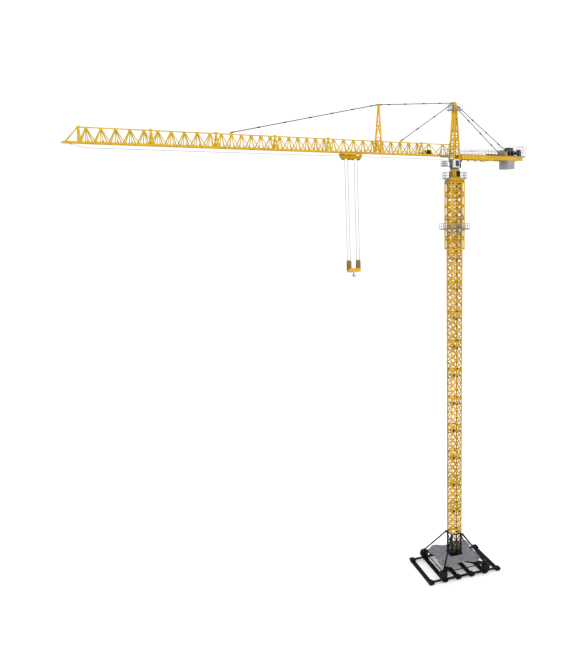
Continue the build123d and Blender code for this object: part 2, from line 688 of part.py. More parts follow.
def pendant(a, b, couplers, w=1.2, fork=True):
    """Pendant rod with couplers and forked ends round the lugs."""
    pa, pb = Vector(*a), Vector(*b)
    d = (pb - pa).normalized()
    s = [bar(JIB, tuple(pa + d * 3.4), tuple(pb - d * 3.4), w)]
    side = Vector(0, 0, 1).cross(d).normalized()
    for p, q in ((pa, pa + d * 5.2), (pb - d * 5.2, pb)):
        for k in (-1, 1):
            o = side * (k * 1.4)
            s.append(bar(JIB, tuple(p + o), tuple(q + o), 0.7, 2.0))
        m = pa + d * 4.4 if (p - pa).length < 0.1 else pb - d * 4.4
        s.append(bar(JIB, tuple(m - d * 0.7), tuple(m + d * 0.7), 3.5, 2.0))
    for f in couplers:
        c = pa + (pb - pa) * f
        s.append(bar(JIB, tuple(c - d * 2.0), tuple(c + d * 2.0), 2.2, 2.0))
    return s


with BuildPart() as pendant_front_upper:
    add(pendant((-7.2, 0, 1112.2), (-199.0, 0, 1096.0), (0.18, 0.41, 0.66, 0.88)))
save(pendant_front_upper, "pendant_front_upper")

with BuildPart() as pendant_front_long:
    add(pendant((-203.6, 0, 1095.8), (-523.5, 0, jib_z + jib_h + 2.0),
                (0.05, 0.19, 0.34, 0.49, 0.66, 0.83)))
save(pendant_front_long, "pendant_front_long")

with BuildPart() as pendant_front_short:
    add(pendant((-10.4, 0, 1108.6), (-146.3, 0, jib_z + jib_h + 2.2), (0.34, 0.68)))
save(pendant_front_short, "pendant_front_short")

with BuildPart() as pendants_rear:
    for sy in (-1, 1):
        add(pendant((6.5, sy * 4.0, 1105.0), (144.8, sy * 13.6, 1012.3),
                    (0.29, 0.57, 0.83)))
save(pendants_rear, "pendants_rear")

# ---------------------------------------------------------------- counter-jib
cj_x0, cj_x1 = 10.0, 197.0
with BuildPart() as counter_jib:
    pieces = []
    for sy in (-1, 1):
        # channel beams
        pieces.append(box(JIB, (cj_x0 + cj_x1) / 2, sy * 14.0, 992.0, cj_x1 - cj_x0, 2.6, 10.0))
        pieces.append(box(JIB, 144.8, sy * 13.6, 1001.8, 4.4, 1.2, 11.7))
    for x in (11.2, 45.0, 80.0, 112.0, 146.4, 173.6, 195.8):
        pieces.append(box(JIB, x, 0, 993.0, 2.4, 28.0, 7.0))
    for x in (52.0, 74.0, 92.0, 101.0):
        # feet hanging under the beams
        pieces.append(box(JIB, x, -14.0, 989.8, 4.0, 2.6, 2.4))
        pieces.append(box(JIB, x, 14.0, 989.8, 4.0, 2.6, 2.4))
    add(pieces)
save(counter_jib, "counter_jib")

with BuildPart() as counter_deck:
    add(slab(JIB, 1002.05, 1003.05, [(13, -12.2), (196, -12.2), (196, 12.2), (13, 12.2)]))
    add(box(JIB, 104.0, 0, 1001.3, 170, 20, 0.8))
save(counter_deck, "counter_deck")

with BuildPart() as counter_railing:
    pieces = []
    for sy in (-1, 1):
        pl = Plane(origin=Vector(16.0, sy * 15.9, 1000.0), x_dir=(1, 0, 0), z_dir=(0, -1, 0))
        strips = [(0, 14.3, 121.0, 14.3, 0.7), (0, 8.6, 121.0, 8.6, 0.55)]
        strips += [(i * 121.0 / 12, -4.0, i * 121.0 / 12, 14.3, 0.7) for i in range(13)]
        pieces.append(net(pl, strips, 0.7))
        pl2 = Plane(origin=Vector(146.5, sy * 15.9, 1000.0), x_dir=(1, 0, 0), z_dir=(0, -1, 0))
        strips = [(0, 24.6, 58.0, 24.6, 0.7), (0, 16.0, 58.0, 16.0, 0.6),
                  (0, 2.0, 58.0, 2.0, 1.6)]
        strips += [(i * 58.0 / 6, -4.0 if i < 5 else 1.4, i * 58.0 / 6, 24.6, 0.7)
                   for i in range(7)]
        pieces.append(net(pl2, strips, 0.7))
    # end balcony behind the last cross beam, joined to the side rails
    pieces.append(slab(JIB, 1000.2, 1001.6, [(197.1, -15.7), (205, -15.7), (205, 15.7),
                                             (197.1, 15.7)]))
    pl = Plane(origin=Vector(204.5, -15.9, 1001.0), x_dir=(0, 1, 0), z_dir=(1, 0, 0))
    strips = [(-0.3, 23.6, 32.1, 23.6, 0.7), (0, 12.0, 31.8, 12.0, 0.6)]
    strips += [(i * 31.8 / 5, 0, i * 31.8 / 5, 23.6, 0.7) for i in range(6)]
    pieces.append(net(pl, strips, 0.7))
    add(pieces)
save(counter_railing, "counter_railing")

with BuildPart() as counterweight:
    # two hanging blocks side by side, hung between the beams
    for sy in (-1, 1):
        add(box(JIB, 160.0, sy * 7.6, 973.0, 22.0, 15.0, 26.4, fillet_r=1.0))
    chamfer(counterweight.faces().sort_by(Axis.Z)[:2].edges(), 0.8)
    with BuildPart(mode=Mode.PRIVATE) as relief:
        add(box(JIB, 160.0, 0, 991.8, 24.0, 40.0, 12.0))
        add(box(JIB, 160.0, 0, 991.8, 24.0, 25.0, 12.0), mode=Mode.SUBTRACT)
    add(relief.part, mode=Mode.SUBTRACT)
save(counterweight, "counterweight")

with BuildPart() as switch_cabinet:
    add(box(JIB, 151.0, 3.8, 1003.1, 12.0, 15.6, 13.4, fillet_r=0.8))
save(switch_cabinet, "switch_cabinet")

with BuildPart() as winch_motor_housing:
    add(box(JIB, 170.0, 4.6, 1003.1, 15.0, 13.0, 19.6))
    chamfer(winch_motor_housing.faces().sort_by(Axis.Z)[-1].edges(), 1.0)
save(winch_motor_housing, "winch_motor_housing")

hoist_x, hoist_z, hoist_r = 187.0, 1011.0, 4.2
with BuildPart() as hoist_winch_frame:
    for y in (-11.4, 9.8):
        with BuildSketch(Plane.XZ.offset(-y)) as cheek:
            Polygon((hoist_x - 7, 1003.1), (hoist_x + 7.4, 1003.1), (hoist_x + 6, 1018.0),
                    (hoist_x - 5, 1018.0), align=None)
            with Locations((hoist_x, hoist_z)):
                Circle(1.2 + fit, mode=Mode.SUBTRACT)
        extrude(amount=0.8, both=True)
    add(bar(JIB, (hoist_x + 5.2, -11.4, 1004.4), (hoist_x + 5.2, 9.8, 1004.4), 1.6))
save(hoist_winch_frame, "hoist_winch_frame")

with BuildPart() as hoist_drum:
    add(turned((hoist_x, -0.8, hoist_z), (0, 1, 0),
               [(0, -11.6), (1.2, -11.6), (1.2, -9.6), (5.8, -9.6), (5.8, -8.8),
                (hoist_r, -8.8), (hoist_r, 8.6), (5.8, 8.6), (5.8, 9.4), (1.2, 9.4),
                (1.2, 11.6), (0, 11.6)]))
    # clamp screws on the flange show the turning
    for a in (0, 90, 180, 270):
        add(box(JIB, hoist_x + 5.0 * cos(radians(a)), -10.2,
                hoist_z + 5.0 * sin(radians(a)) - 0.5, 1.0, 0.5, 1.0))
save(hoist_drum, "hoist_drum")

# trolley winch inside the jib root
tw_x, tw_z = -77.0, 1006.0
with BuildPart() as trolley_winch_frame:
    for y in (-6.0, 6.0):
        with BuildSketch(Plane.XZ.offset(-y)) as cheek:
            Polygon((tw_x - 12, 1000.05), (tw_x + 12, 1000.05), (tw_x + 5, 1009.4),
                    (tw_x - 5, 1009.4), align=None)
            with Locations((tw_x, tw_z)):
                Circle(1.0 + fit, mode=Mode.SUBTRACT)
        extrude(amount=0.5, both=True)
    add(box(JIB, tw_x + 9.0, 0, 1000.05, 3.0, 12.0, 4.0))
    add(box(JIB, tw_x - 9.0, 0, 1000.05, 3.0, 12.0, 4.0))
save(trolley_winch_frame, "trolley_winch_frame")

with BuildPart() as trolley_drum:
    add(turned((tw_x, 0, tw_z), (0, 1, 0),
               [(0, -6.4), (1.0, -6.4), (1.0, -5.2), (4.0, -5.2), (4.0, -4.6), (2.8, -4.6),
                (2.8, 4.6), (4.0, 4.6), (4.0, 5.2), (1.0, 5.2), (1.0, 6.4), (0, 6.4)]))
    for a in (0, 120, 240):
        add(box(JIB, tw_x + 3.3 * cos(radians(a)), -5.35,
                tw_z + 3.3 * sin(radians(a)) - 0.35, 0.7, 0.3, 0.7))
save(trolley_drum, "trolley_drum")

# ---------------------------------------------------------- trolley and hook
tc = -271.3
with BuildPart() as trolley_frame:
    pieces = []
    # side plates under the bottom chords, and the two sheave plates between them
    for sy in (-1, 1):
        pieces.append(box(JIB, tc, sy * 13.0, 993.4, 40.0, 1.4, 3.7))
        pieces.append(box(JIB, tc, sy * 12.4, 993.4, 40.0, 2.6, 1.0))
        with BuildSketch(Plane.XZ.offset(-sy * 2.5)) as plate:
            Polygon((-293.6, 985.9), (-249.4, 985.9), (-246.2, 992.6), (-296.8, 992.6),
                    align=None)
            for t in trolley_sheaves:
                with Locations((-t, trolley_sheave_z)):
                    Circle(0.9 + fit, mode=Mode.SUBTRACT)
        pieces.append(extrude(plate.sketch, amount=0.4, both=True, mode=Mode.PRIVATE))
    for x in (tc - 18.4, tc, tc + 18.4):
        for sy in (-1, 1):
            pieces.append(bar(JIB, (x, sy * 2.3, 991.4), (x, sy * 12.8, 993.9), 1.6))
    add(pieces)
    add(bar(JIB, (-294.9, -2.6, 989.0), (-294.9, 2.6, 989.0), 1.2))
    add(bar(JIB, (-248.1, -2.6, 989.0), (-248.1, 2.6, 989.0), 1.2))
    # guide rollers under the bottom chords
    for x in (tc - 15.0, tc + 15.0):
        for sy in (-1, 1):
            add(turned((x, sy * 11.6, 996.1), (0, 1, 0),
                       [(0, -0.9), (1.5, -0.9), (1.5, 0.9), (0, 0.9)]))
save(trolley_frame, "trolley_frame")

with BuildPart() as trolley_sheave_set:
    for t in trolley_sheaves:
        add(turned((-t, 0, trolley_sheave_z), (0, 1, 0),
                   sheave_profile(sheave_r - 0.05, 1.2, 0.9, 3.0, flange=0.45)))
save(trolley_sheave_set, "trolley_sheaves")

with BuildPart() as hook_block:
    pieces = []
    for t in hook_sheaves:
        for sy in (-1, 1):
            with BuildSketch(Plane.XZ.offset(-sy * 2.4)) as plate:
                with Locations((-t, 770.2)):
                    RectangleRounded(8.2, 22.6, 2.6)
                with Locations((-t, hook_sheave_z)):
                    Circle(0.9 + fit, mode=Mode.SUBTRACT)
            pieces.append(extrude(plate.sketch, amount=0.5, both=True, mode=Mode.PRIVATE))
        pieces.append(box(JIB, -t, 0, 766.4, 6.6, 5.0, 1.8))
    # straight yoke joining the two housings
    xm = -(hook_sheaves[0] + hook_sheaves[1]) / 2
    with BuildSketch(Plane.XZ) as yoke:
        Polygon((xm - 14.0, 757.8), (xm - 12.0, 756.4), (xm + 12.0, 756.4), (xm + 14.0, 757.8),
                (xm + 14.0, 761.5), (xm - 14.0, 761.5), align=None)
        with Locations((xm, 759.6)):
            Rectangle(2.6, 2.8, mode=Mode.SUBTRACT)
    with BuildPart(mode=Mode.PRIVATE) as yoke_bar:
        add(extrude(yoke.sketch, amount=2.2, both=True, mode=Mode.PRIVATE))
        add(rod(JIB, (xm, 0, 755.0), (xm, 0, 759.0), 0.85), mode=Mode.SUBTRACT)
    pieces.append(yoke_bar.part)
    # the yoke is closed round the hook shank, in front and behind
    pieces.append(box(JIB, xm, -1.75, 756.4, 6.0, 0.9, 5.1))
    pieces.append(box(JIB, xm, 1.75, 756.4, 6.0, 0.9, 5.1))
    add(pieces)
save(hook_block, "hook_block")

for k, t in enumerate(hook_sheaves):
    with BuildPart() as sheave:
        add(turned((-t, 0, hook_sheave_z), (0, 1, 0),
                   sheave_profile(3.1, 1.2, 0.9, 2.85, flange=0.75)))
    save(sheave, "hook_sheave_%d" % (k + 1))

with BuildPart() as hook:
    # shank through the yoke, bowl opening toward +X
    add(turned((xm, 0, 0), (0, 0, 1),
               [(0, 754.0), (0.8, 754.0), (0.8, 758.3), (1.0, 758.3), (1.0, 758.3),
                (1.0, 759.6), (0, 759.6)]))
    with BuildSketch(Plane.XZ) as bowl:
        with BuildLine() as bowl_line:
            l1 = Polyline((xm - 0.9, 755.4), (xm - 1.2, 753.6))
            l2 = ThreePointArc(l1 @ 1, (xm - 0.4, 746.9), (xm + 4.0, 750.6))
            l3 = Line(l2 @ 1, (xm + 2.6, 751.2))
            l4 = ThreePointArc(l3 @ 1, (xm + 0.2, 748.9), (xm + 0.6, 752.6))
            l5 = Line(l4 @ 1, (xm + 0.9, 755.4))
            Line(l5 @ 1, l1 @ 0)
        make_face()
    extrude(amount=0.75, both=True)
save(hook, "hook")

# --------------------------------------------------------------------- ropes
r_t = sheave_r + 0.25
rz = trolley_sheave_z + r_t
a, b, c, d = [-t for t in trolley_sheaves]
h1, h2 = [-t for t in hook_sheaves]
r_h = sheave_r + 0.25
with BuildPart() as hoist_rope_falls:
    pts = arc_points(a, trolley_sheave_z, r_t, 90, 0)
    pts += arc_points(h1, hook_sheave_z, (h1 - (a + r_t)), 180, 360, n=12)
    pts += arc_points(b, trolley_sheave_z, r_t, 180, 90)
    pts += arc_points(c, trolley_sheave_z, r_t, 90, 0)
    pts += arc_points(h2, hook_sheave_z, (h2 - (c + r_t)), 180, 360, n=12)
    pts += arc_points(d, trolley_sheave_z, r_t, 180, 90)
    pts = [(p[0], p[1], p[2]) for p in pts]
    pts[0] = (pts[0][0] + 0.02, 0, pts[0][2])
    pts[-1] = (pts[-1][0] - 0.02, 0, pts[-1][2])
    add(rope(pts))
save(hoist_rope_falls, "hoist_rope_falls")

# runs along the jib: hoist rope to the tip anchor, hoist rope from the drum,
# and the trolley's own rope above the bottom panel
with BuildPart() as jib_ropes:
    add(rope([(a, 0, rz), (-770.0, 0, rz), (-795.6, 0, jib_z - 1.9)]))
    add(rope([(hoist_x, -6.0, hoist_z + hoist_r + 0.35), (60.0, -5.2, 1011.5),
              (12.0, -4.2, 1009.0), (-12.0, -2.0, 1007.2), (-30.0, 0, 995.2),
              (-35.0, 0, rz), (d, 0, rz)]))
    add(rope([(tw_x - 1.0, -3.6, tw_z + 3.1), (-100.0, -3.6, 1003.4),
              (tc + 24.0, -3.6, 1003.4)]))
save(jib_ropes, "jib_ropes")
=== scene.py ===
import bpy
import json
import math
from mathutils import Vector, Matrix


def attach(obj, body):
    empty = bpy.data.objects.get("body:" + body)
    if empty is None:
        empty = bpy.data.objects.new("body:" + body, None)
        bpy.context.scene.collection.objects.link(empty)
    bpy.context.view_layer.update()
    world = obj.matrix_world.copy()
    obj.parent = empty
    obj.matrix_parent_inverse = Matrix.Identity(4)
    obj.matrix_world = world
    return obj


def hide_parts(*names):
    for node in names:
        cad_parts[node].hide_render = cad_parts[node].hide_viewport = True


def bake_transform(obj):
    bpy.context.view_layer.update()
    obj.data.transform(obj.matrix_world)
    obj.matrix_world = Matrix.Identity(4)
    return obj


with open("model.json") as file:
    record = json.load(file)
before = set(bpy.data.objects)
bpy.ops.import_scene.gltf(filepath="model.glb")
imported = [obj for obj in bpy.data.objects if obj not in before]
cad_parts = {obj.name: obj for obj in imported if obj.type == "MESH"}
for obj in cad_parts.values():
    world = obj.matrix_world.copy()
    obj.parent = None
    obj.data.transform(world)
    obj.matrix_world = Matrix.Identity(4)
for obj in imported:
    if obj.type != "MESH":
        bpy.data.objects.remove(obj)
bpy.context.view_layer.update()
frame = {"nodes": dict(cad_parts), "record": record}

nodes = frame["nodes"]
record = frame["record"]
scene = bpy.context.scene
MM = 0.001

# ------------------------------------------------------------------- camera
YAW, PITCH, ROLL = -0.5733, 0.18482, -0.0209
CAM = (-0.98904, -1.19573, 0.87704)
FOCAL = 664.93
PP = (377.08, 337.39)
fw = Vector((-math.sin(YAW) * math.cos(PITCH), math.cos(YAW) * math.cos(PITCH), -math.sin(PITCH)))
rr = Vector((math.cos(YAW), math.sin(YAW), 0.0))
uu = rr.cross(fw)
r2 = math.cos(ROLL) * rr + math.sin(ROLL) * uu
u2 = -math.sin(ROLL) * rr + math.cos(ROLL) * uu
cam_data = bpy.data.cameras.new("camera")
cam = bpy.data.objects.new("camera", cam_data)
scene.collection.objects.link(cam)
m = Matrix.Identity(4)
for i in range(3):
    m[i][0], m[i][1], m[i][2], m[i][3] = r2[i], u2[i], -fw[i], CAM[i]
cam.matrix_world = m
cam_data.sensor_fit = "AUTO"
cam_data.sensor_width = 36.0
cam_data.lens = FOCAL * 36.0 / 650.0
cam_data.shift_x = -(PP[0] - 292.5) / 650.0
cam_data.shift_y = (PP[1] - 325.0) / 650.0
cam_data.clip_start = 0.01
cam_data.clip_end = 50.0
cam_data.dof.use_dof = False
scene.camera = cam

# ---------------------------------------------------------------- materials


def node_mat(name, base, rough=0.45, metallic=0.0, var=0.18, scale=45.0, fine=900.0,
             bump=0.15, wear=None, wear_amount=0.0, coat=0.0, dirt=0.0, streak=0.0,
             rough_var=0.12, spec=0.5, transmission=0.0):
    """Painted, moulded or metal surface with colour variation, grime, wear and relief."""
    mat = bpy.data.materials.new(name)
    mat.use_nodes = True
    nt = mat.node_tree
    nt.nodes.clear()
    N = nt.nodes.new
    L = nt.links.new
    out = N("ShaderNodeOutputMaterial")
    bsdf = N("ShaderNodeBsdfPrincipled")
    L(bsdf.outputs["BSDF"], out.inputs["Surface"])
    tc = N("ShaderNodeTexCoord")
    n1 = N("ShaderNodeTexNoise")
    n1.inputs["Scale"].default_value = scale
    n1.inputs["Detail"].default_value = 5.0
    n1.inputs["Roughness"].default_value = 0.6
    L(tc.outputs["Object"], n1.inputs["Vector"])
    ramp = N("ShaderNodeValToRGB")
    lo = [max(0.0, c * (1.0 - var)) for c in base]
    hi = [min(1.0, c * (1.0 + var * 0.7)) for c in base]
    ramp.color_ramp.elements[0].position = 0.32
    ramp.color_ramp.elements[0].color = (*lo, 1)
    ramp.color_ramp.elements[1].position = 0.68
    ramp.color_ramp.elements[1].color = (*hi, 1)
    L(n1.outputs["Fac"], ramp.inputs["Fac"])
    colour = ramp.outputs["Color"]
    if streak:
        # long vertical runs of dirt
        mp = N("ShaderNodeMapping")
        mp.inputs["Scale"].default_value = (260.0, 260.0, 9.0)
        L(tc.outputs["Object"], mp.inputs["Vector"])
        ns = N("ShaderNodeTexNoise")
        ns.inputs["Scale"].default_value = 1.0
        ns.inputs["Detail"].default_value = 4.0
        L(mp.outputs["Vector"], ns.inputs["Vector"])
        rs = N("ShaderNodeMapRange")
        rs.inputs["From Min"].default_value = 0.52
        rs.inputs["From Max"].default_value = 0.72
        rs.inputs["To Max"].default_value = streak
        L(ns.outputs["Fac"], rs.inputs["Value"])
        mx = N("ShaderNodeMixRGB")
        mx.inputs["Color2"].default_value = (*[c * 0.55 for c in base], 1)
        L(rs.outputs["Result"], mx.inputs["Fac"])
        L(colour, mx.inputs["Color1"])
        colour = mx.outputs["Color"]
    if dirt:
        nd = N("ShaderNodeTexNoise")
        nd.inputs["Scale"].default_value = scale * 0.35
        nd.inputs["Detail"].default_value = 8.0
        L(tc.outputs["Object"], nd.inputs["Vector"])
        rd = N("ShaderNodeMapRange")
        rd.inputs["From Min"].default_value = 0.5
        rd.inputs["From Max"].default_value = 0.75
        rd.inputs["To Max"].default_value = dirt
        L(nd.outputs["Fac"], rd.inputs["Value"])
        mx = N("ShaderNodeMixRGB")
        mx.inputs["Color2"].default_value = (*[c * 0.5 + 0.02 for c in base], 1)
        L(rd.outputs["Result"], mx.inputs["Fac"])
        L(colour, mx.inputs["Color1"])
        colour = mx.outputs["Color"]
    if wear is not None and wear_amount:
        nw = N("ShaderNodeTexNoise")
        nw.inputs["Scale"].default_value = 320.0
        nw.inputs["Detail"].default_value = 9.0
        nw.inputs["Roughness"].default_value = 0.75
        L(tc.outputs["Object"], nw.inputs["Vector"])
        rw = N("ShaderNodeMapRange")
        rw.inputs["From Min"].default_value = 0.70 - 0.1 * wear_amount
        rw.inputs["From Max"].default_value = 0.74 - 0.1 * wear_amount
        L(nw.outputs["Fac"], rw.inputs["Value"])
        mx = N("ShaderNodeMixRGB")
        mx.inputs["Color2"].default_value = (*wear, 1)
        L(rw.outputs["Result"], mx.inputs["Fac"])
        L(colour, mx.inputs["Color1"])
        colour = mx.outputs["Color"]
    L(colour, bsdf.inputs["Base Color"])
    n2 = N("ShaderNodeTexNoise")
    n2.inputs["Scale"].default_value = scale * 3.0
    n2.inputs["Detail"].default_value = 3.0
    L(tc.outputs["Object"], n2.inputs["Vector"])
    rr_ = N("ShaderNodeMapRange")
    rr_.inputs["To Min"].default_value = max(0.02, rough - rough_var)
    rr_.inputs["To Max"].default_value = min(1.0, rough + rough_var)
    L(n2.outputs["Fac"], rr_.inputs["Value"])
    L(rr_.outputs["Result"], bsdf.inputs["Roughness"])
    n3 = N("ShaderNodeTexNoise")
    n3.inputs["Scale"].default_value = fine
    n3.inputs["Detail"].default_value = 4.0
    L(tc.outputs["Object"], n3.inputs["Vector"])
    bp = N("ShaderNodeBump")
    bp.inputs["Strength"].default_value = bump
    bp.inputs["Distance"].default_value = 0.0003
    L(n3.outputs["Fac"], bp.inputs["Height"])
    L(bp.outputs["Normal"], bsdf.inputs["Normal"])
    bsdf.inputs["Metallic"].default_value = metallic
    bsdf.inputs["Coat Weight"].default_value = coat
    bsdf.inputs["Coat Roughness"].default_value = 0.15
    bsdf.inputs["Specular IOR Level"].default_value = spec
    return mat


MAT = {
    "crane_yellow": node_mat("paint_yellow", (0.59, 0.345, 0.002), rough=0.45, var=0.16, scale=40,
                             bump=0.10, wear=(0.20, 0.10, 0.008), wear_amount=0.35, coat=0.0,
                             dirt=0.45, streak=0.45, spec=0.22),
    "jib_yellow": node_mat("paint_yellow_jib", (0.60, 0.40, 0.004), rough=0.45, var=0.14, scale=40,
                           bump=0.10, wear=(0.22, 0.12, 0.01), wear_amount=0.3, coat=0.0,
                           dirt=0.2, streak=0.15, spec=0.22),
    "track_black": node_mat("moulded_black", (0.0035, 0.0035, 0.004), rough=0.75, var=0.35, scale=70,
                            fine=1400, bump=0.35, wear=(0.02, 0.02, 0.02), wear_amount=0.3, spec=0.12),
    "rail_steel": node_mat("rail_dark", (0.012, 0.012, 0.013), rough=0.55, metallic=0.2, var=0.3,
                           scale=90, bump=0.2, wear=(0.06, 0.055, 0.05), wear_amount=0.4, spec=0.2),
    "base_black": node_mat("frame_black", (0.004, 0.004, 0.005), rough=0.6, var=0.3, scale=60,
                           bump=0.2, wear=(0.04, 0.035, 0.03), wear_amount=0.3, spec=0.15),
    "ballast_grey": node_mat("ballast_concrete", (0.185, 0.185, 0.20), rough=0.9, var=0.20, scale=55,
                             fine=1300, bump=0.55, wear=(0.10, 0.10, 0.10), wear_amount=0.75,
                             dirt=0.4, spec=0.2),
    "counterweight_grey": node_mat("counterweight_concrete", (0.27, 0.275, 0.285), rough=0.9,
                                   var=0.06, scale=55, fine=1300, bump=0.40,
                                   wear=(0.26, 0.26, 0.27), wear_amount=0.5, dirt=0.06, streak=0.06,
                                   spec=0.2),
    "platform_dark": node_mat("grating_dark", (0.10, 0.065, 0.085), rough=0.7, var=0.3, scale=80,
                              fine=1500, bump=0.6, wear=(0.2, 0.17, 0.19), wear_amount=0.5),
    "railing_grey": node_mat("railing_pale", (0.21, 0.205, 0.22), rough=0.5, var=0.14, scale=60,
                             bump=0.15, wear=(0.2, 0.2, 0.2), wear_amount=0.5, dirt=0.2),
    "walkway_grey": node_mat("walkway_grey", (0.12, 0.10, 0.12), rough=0.55, var=0.2, scale=60,
                             bump=0.15, wear=(0.2, 0.2, 0.2), wear_amount=0.4, dirt=0.2),
    "counter_yellow": node_mat("paint_yellow_counter", (0.54, 0.315, 0.003), rough=0.45, var=0.16,
                               scale=40, bump=0.10, wear=(0.20, 0.10, 0.008), wear_amount=0.4,
                               dirt=0.5, streak=0.3, spec=0.2),
    "turret_grey": node_mat("turret_bluegrey", (0.105, 0.115, 0.14), rough=0.5, var=0.25, scale=60,
                            bump=0.2, wear=(0.03, 0.03, 0.04), wear_amount=0.5, dirt=0.5),
    "cab_white": node_mat("cab_shell_white", (0.70, 0.71, 0.72), rough=0.3, var=0.05, scale=50,
                          bump=0.08, coat=0.3, dirt=0.12),
    "cab_glass": node_mat("cab_window_tint", (0.004, 0.005, 0.008), rough=0.14, var=0.4, scale=40,
                          bump=0.02, coat=0.3, rough_var=0.05, spec=0.3),
    "pendant_grey": node_mat("pendant_rod", (0.07, 0.07, 0.075), rough=0.5, metallic=0.1, var=0.25,
                             scale=80, bump=0.15, wear=(0.3, 0.29, 0.27), wear_amount=0.4),
    "coupler_dark": node_mat("pendant_coupler", (0.02, 0.02, 0.022), rough=0.4, metallic=0.4, var=0.25,
                             scale=150, bump=0.2, wear=(0.15, 0.15, 0.15), wear_amount=0.4),
    "rope_steel": node_mat("rope_pale", (0.24, 0.24, 0.245), rough=0.6, metallic=0.0, var=0.15,
                           scale=400, fine=3000, bump=0.6),
    "machine_black": node_mat("machine_black", (0.006, 0.006, 0.008), rough=0.5, var=0.3, scale=70,
                              bump=0.2, wear=(0.12, 0.11, 0.10), wear_amount=0.35, spec=0.2),
    "cabinet_grey": node_mat("cabinet_grey", (0.19, 0.195, 0.195), rough=0.5, var=0.12, scale=60,
                             bump=0.2, wear=(0.1, 0.1, 0.1), wear_amount=0.4, dirt=0.2),
    "drum_steel": node_mat("drum_steel", (0.10, 0.10, 0.105), rough=0.38, metallic=0.7, var=0.2,
                           scale=110, bump=0.25),
    "hook_steel": node_mat("hook_cast", (0.12, 0.123, 0.135), rough=0.5, metallic=0.5, var=0.3,
                           scale=200, fine=2500, bump=0.5, wear=(0.3, 0.3, 0.3), wear_amount=0.5),
    "sheave_gold": node_mat("sheave_housing", (0.20, 0.105, 0.008), rough=0.45, var=0.25, scale=150,
                            bump=0.2, wear=(0.08, 0.05, 0.01), wear_amount=0.5),
    "strut_orange": node_mat("strut_orange", (0.66, 0.34, 0.003), rough=0.45, var=0.16, scale=60,
                             bump=0.1, wear=(0.2, 0.09, 0.01), wear_amount=0.35, dirt=0.25, spec=0.22),
    "toe_brown": node_mat("toe_board_brown", (0.10, 0.048, 0.02), rough=0.6, var=0.3, scale=90,
                          bump=0.3, wear=(0.2, 0.12, 0.05), wear_amount=0.4),
}

SLOT = {s["node"]: s["material_slot"] for s in record["subparts"]}
for name, ob in nodes.items():
    mat = MAT["counter_yellow" if name == "counter_jib" else SLOT[name]]
    if not ob.material_slots:
        ob.data.materials.append(mat)
    for s in ob.material_slots:
        s.material = mat

# the hook block's housings are darker than its yoke
hb = nodes["hook_block"]
hb.data.materials.append(MAT["sheave_gold"])
for poly in hb.data.polygons:
    c_ = hb.matrix_world @ poly.center
    poly.material_index = 0 if c_.z < 0.7625 and abs(c_.y) < 0.00225 else 1

# ------------------------------------------------------------- mesh building
BASE_TURN = math.radians(-13.2)
CT, ST = math.cos(BASE_TURN), math.sin(BASE_TURN)


def B(x, y, z):
    """Point of the mast and track frame, in the crane's frame (millimetres)."""
    return (x * CT - y * ST, x * ST + y * CT, z)


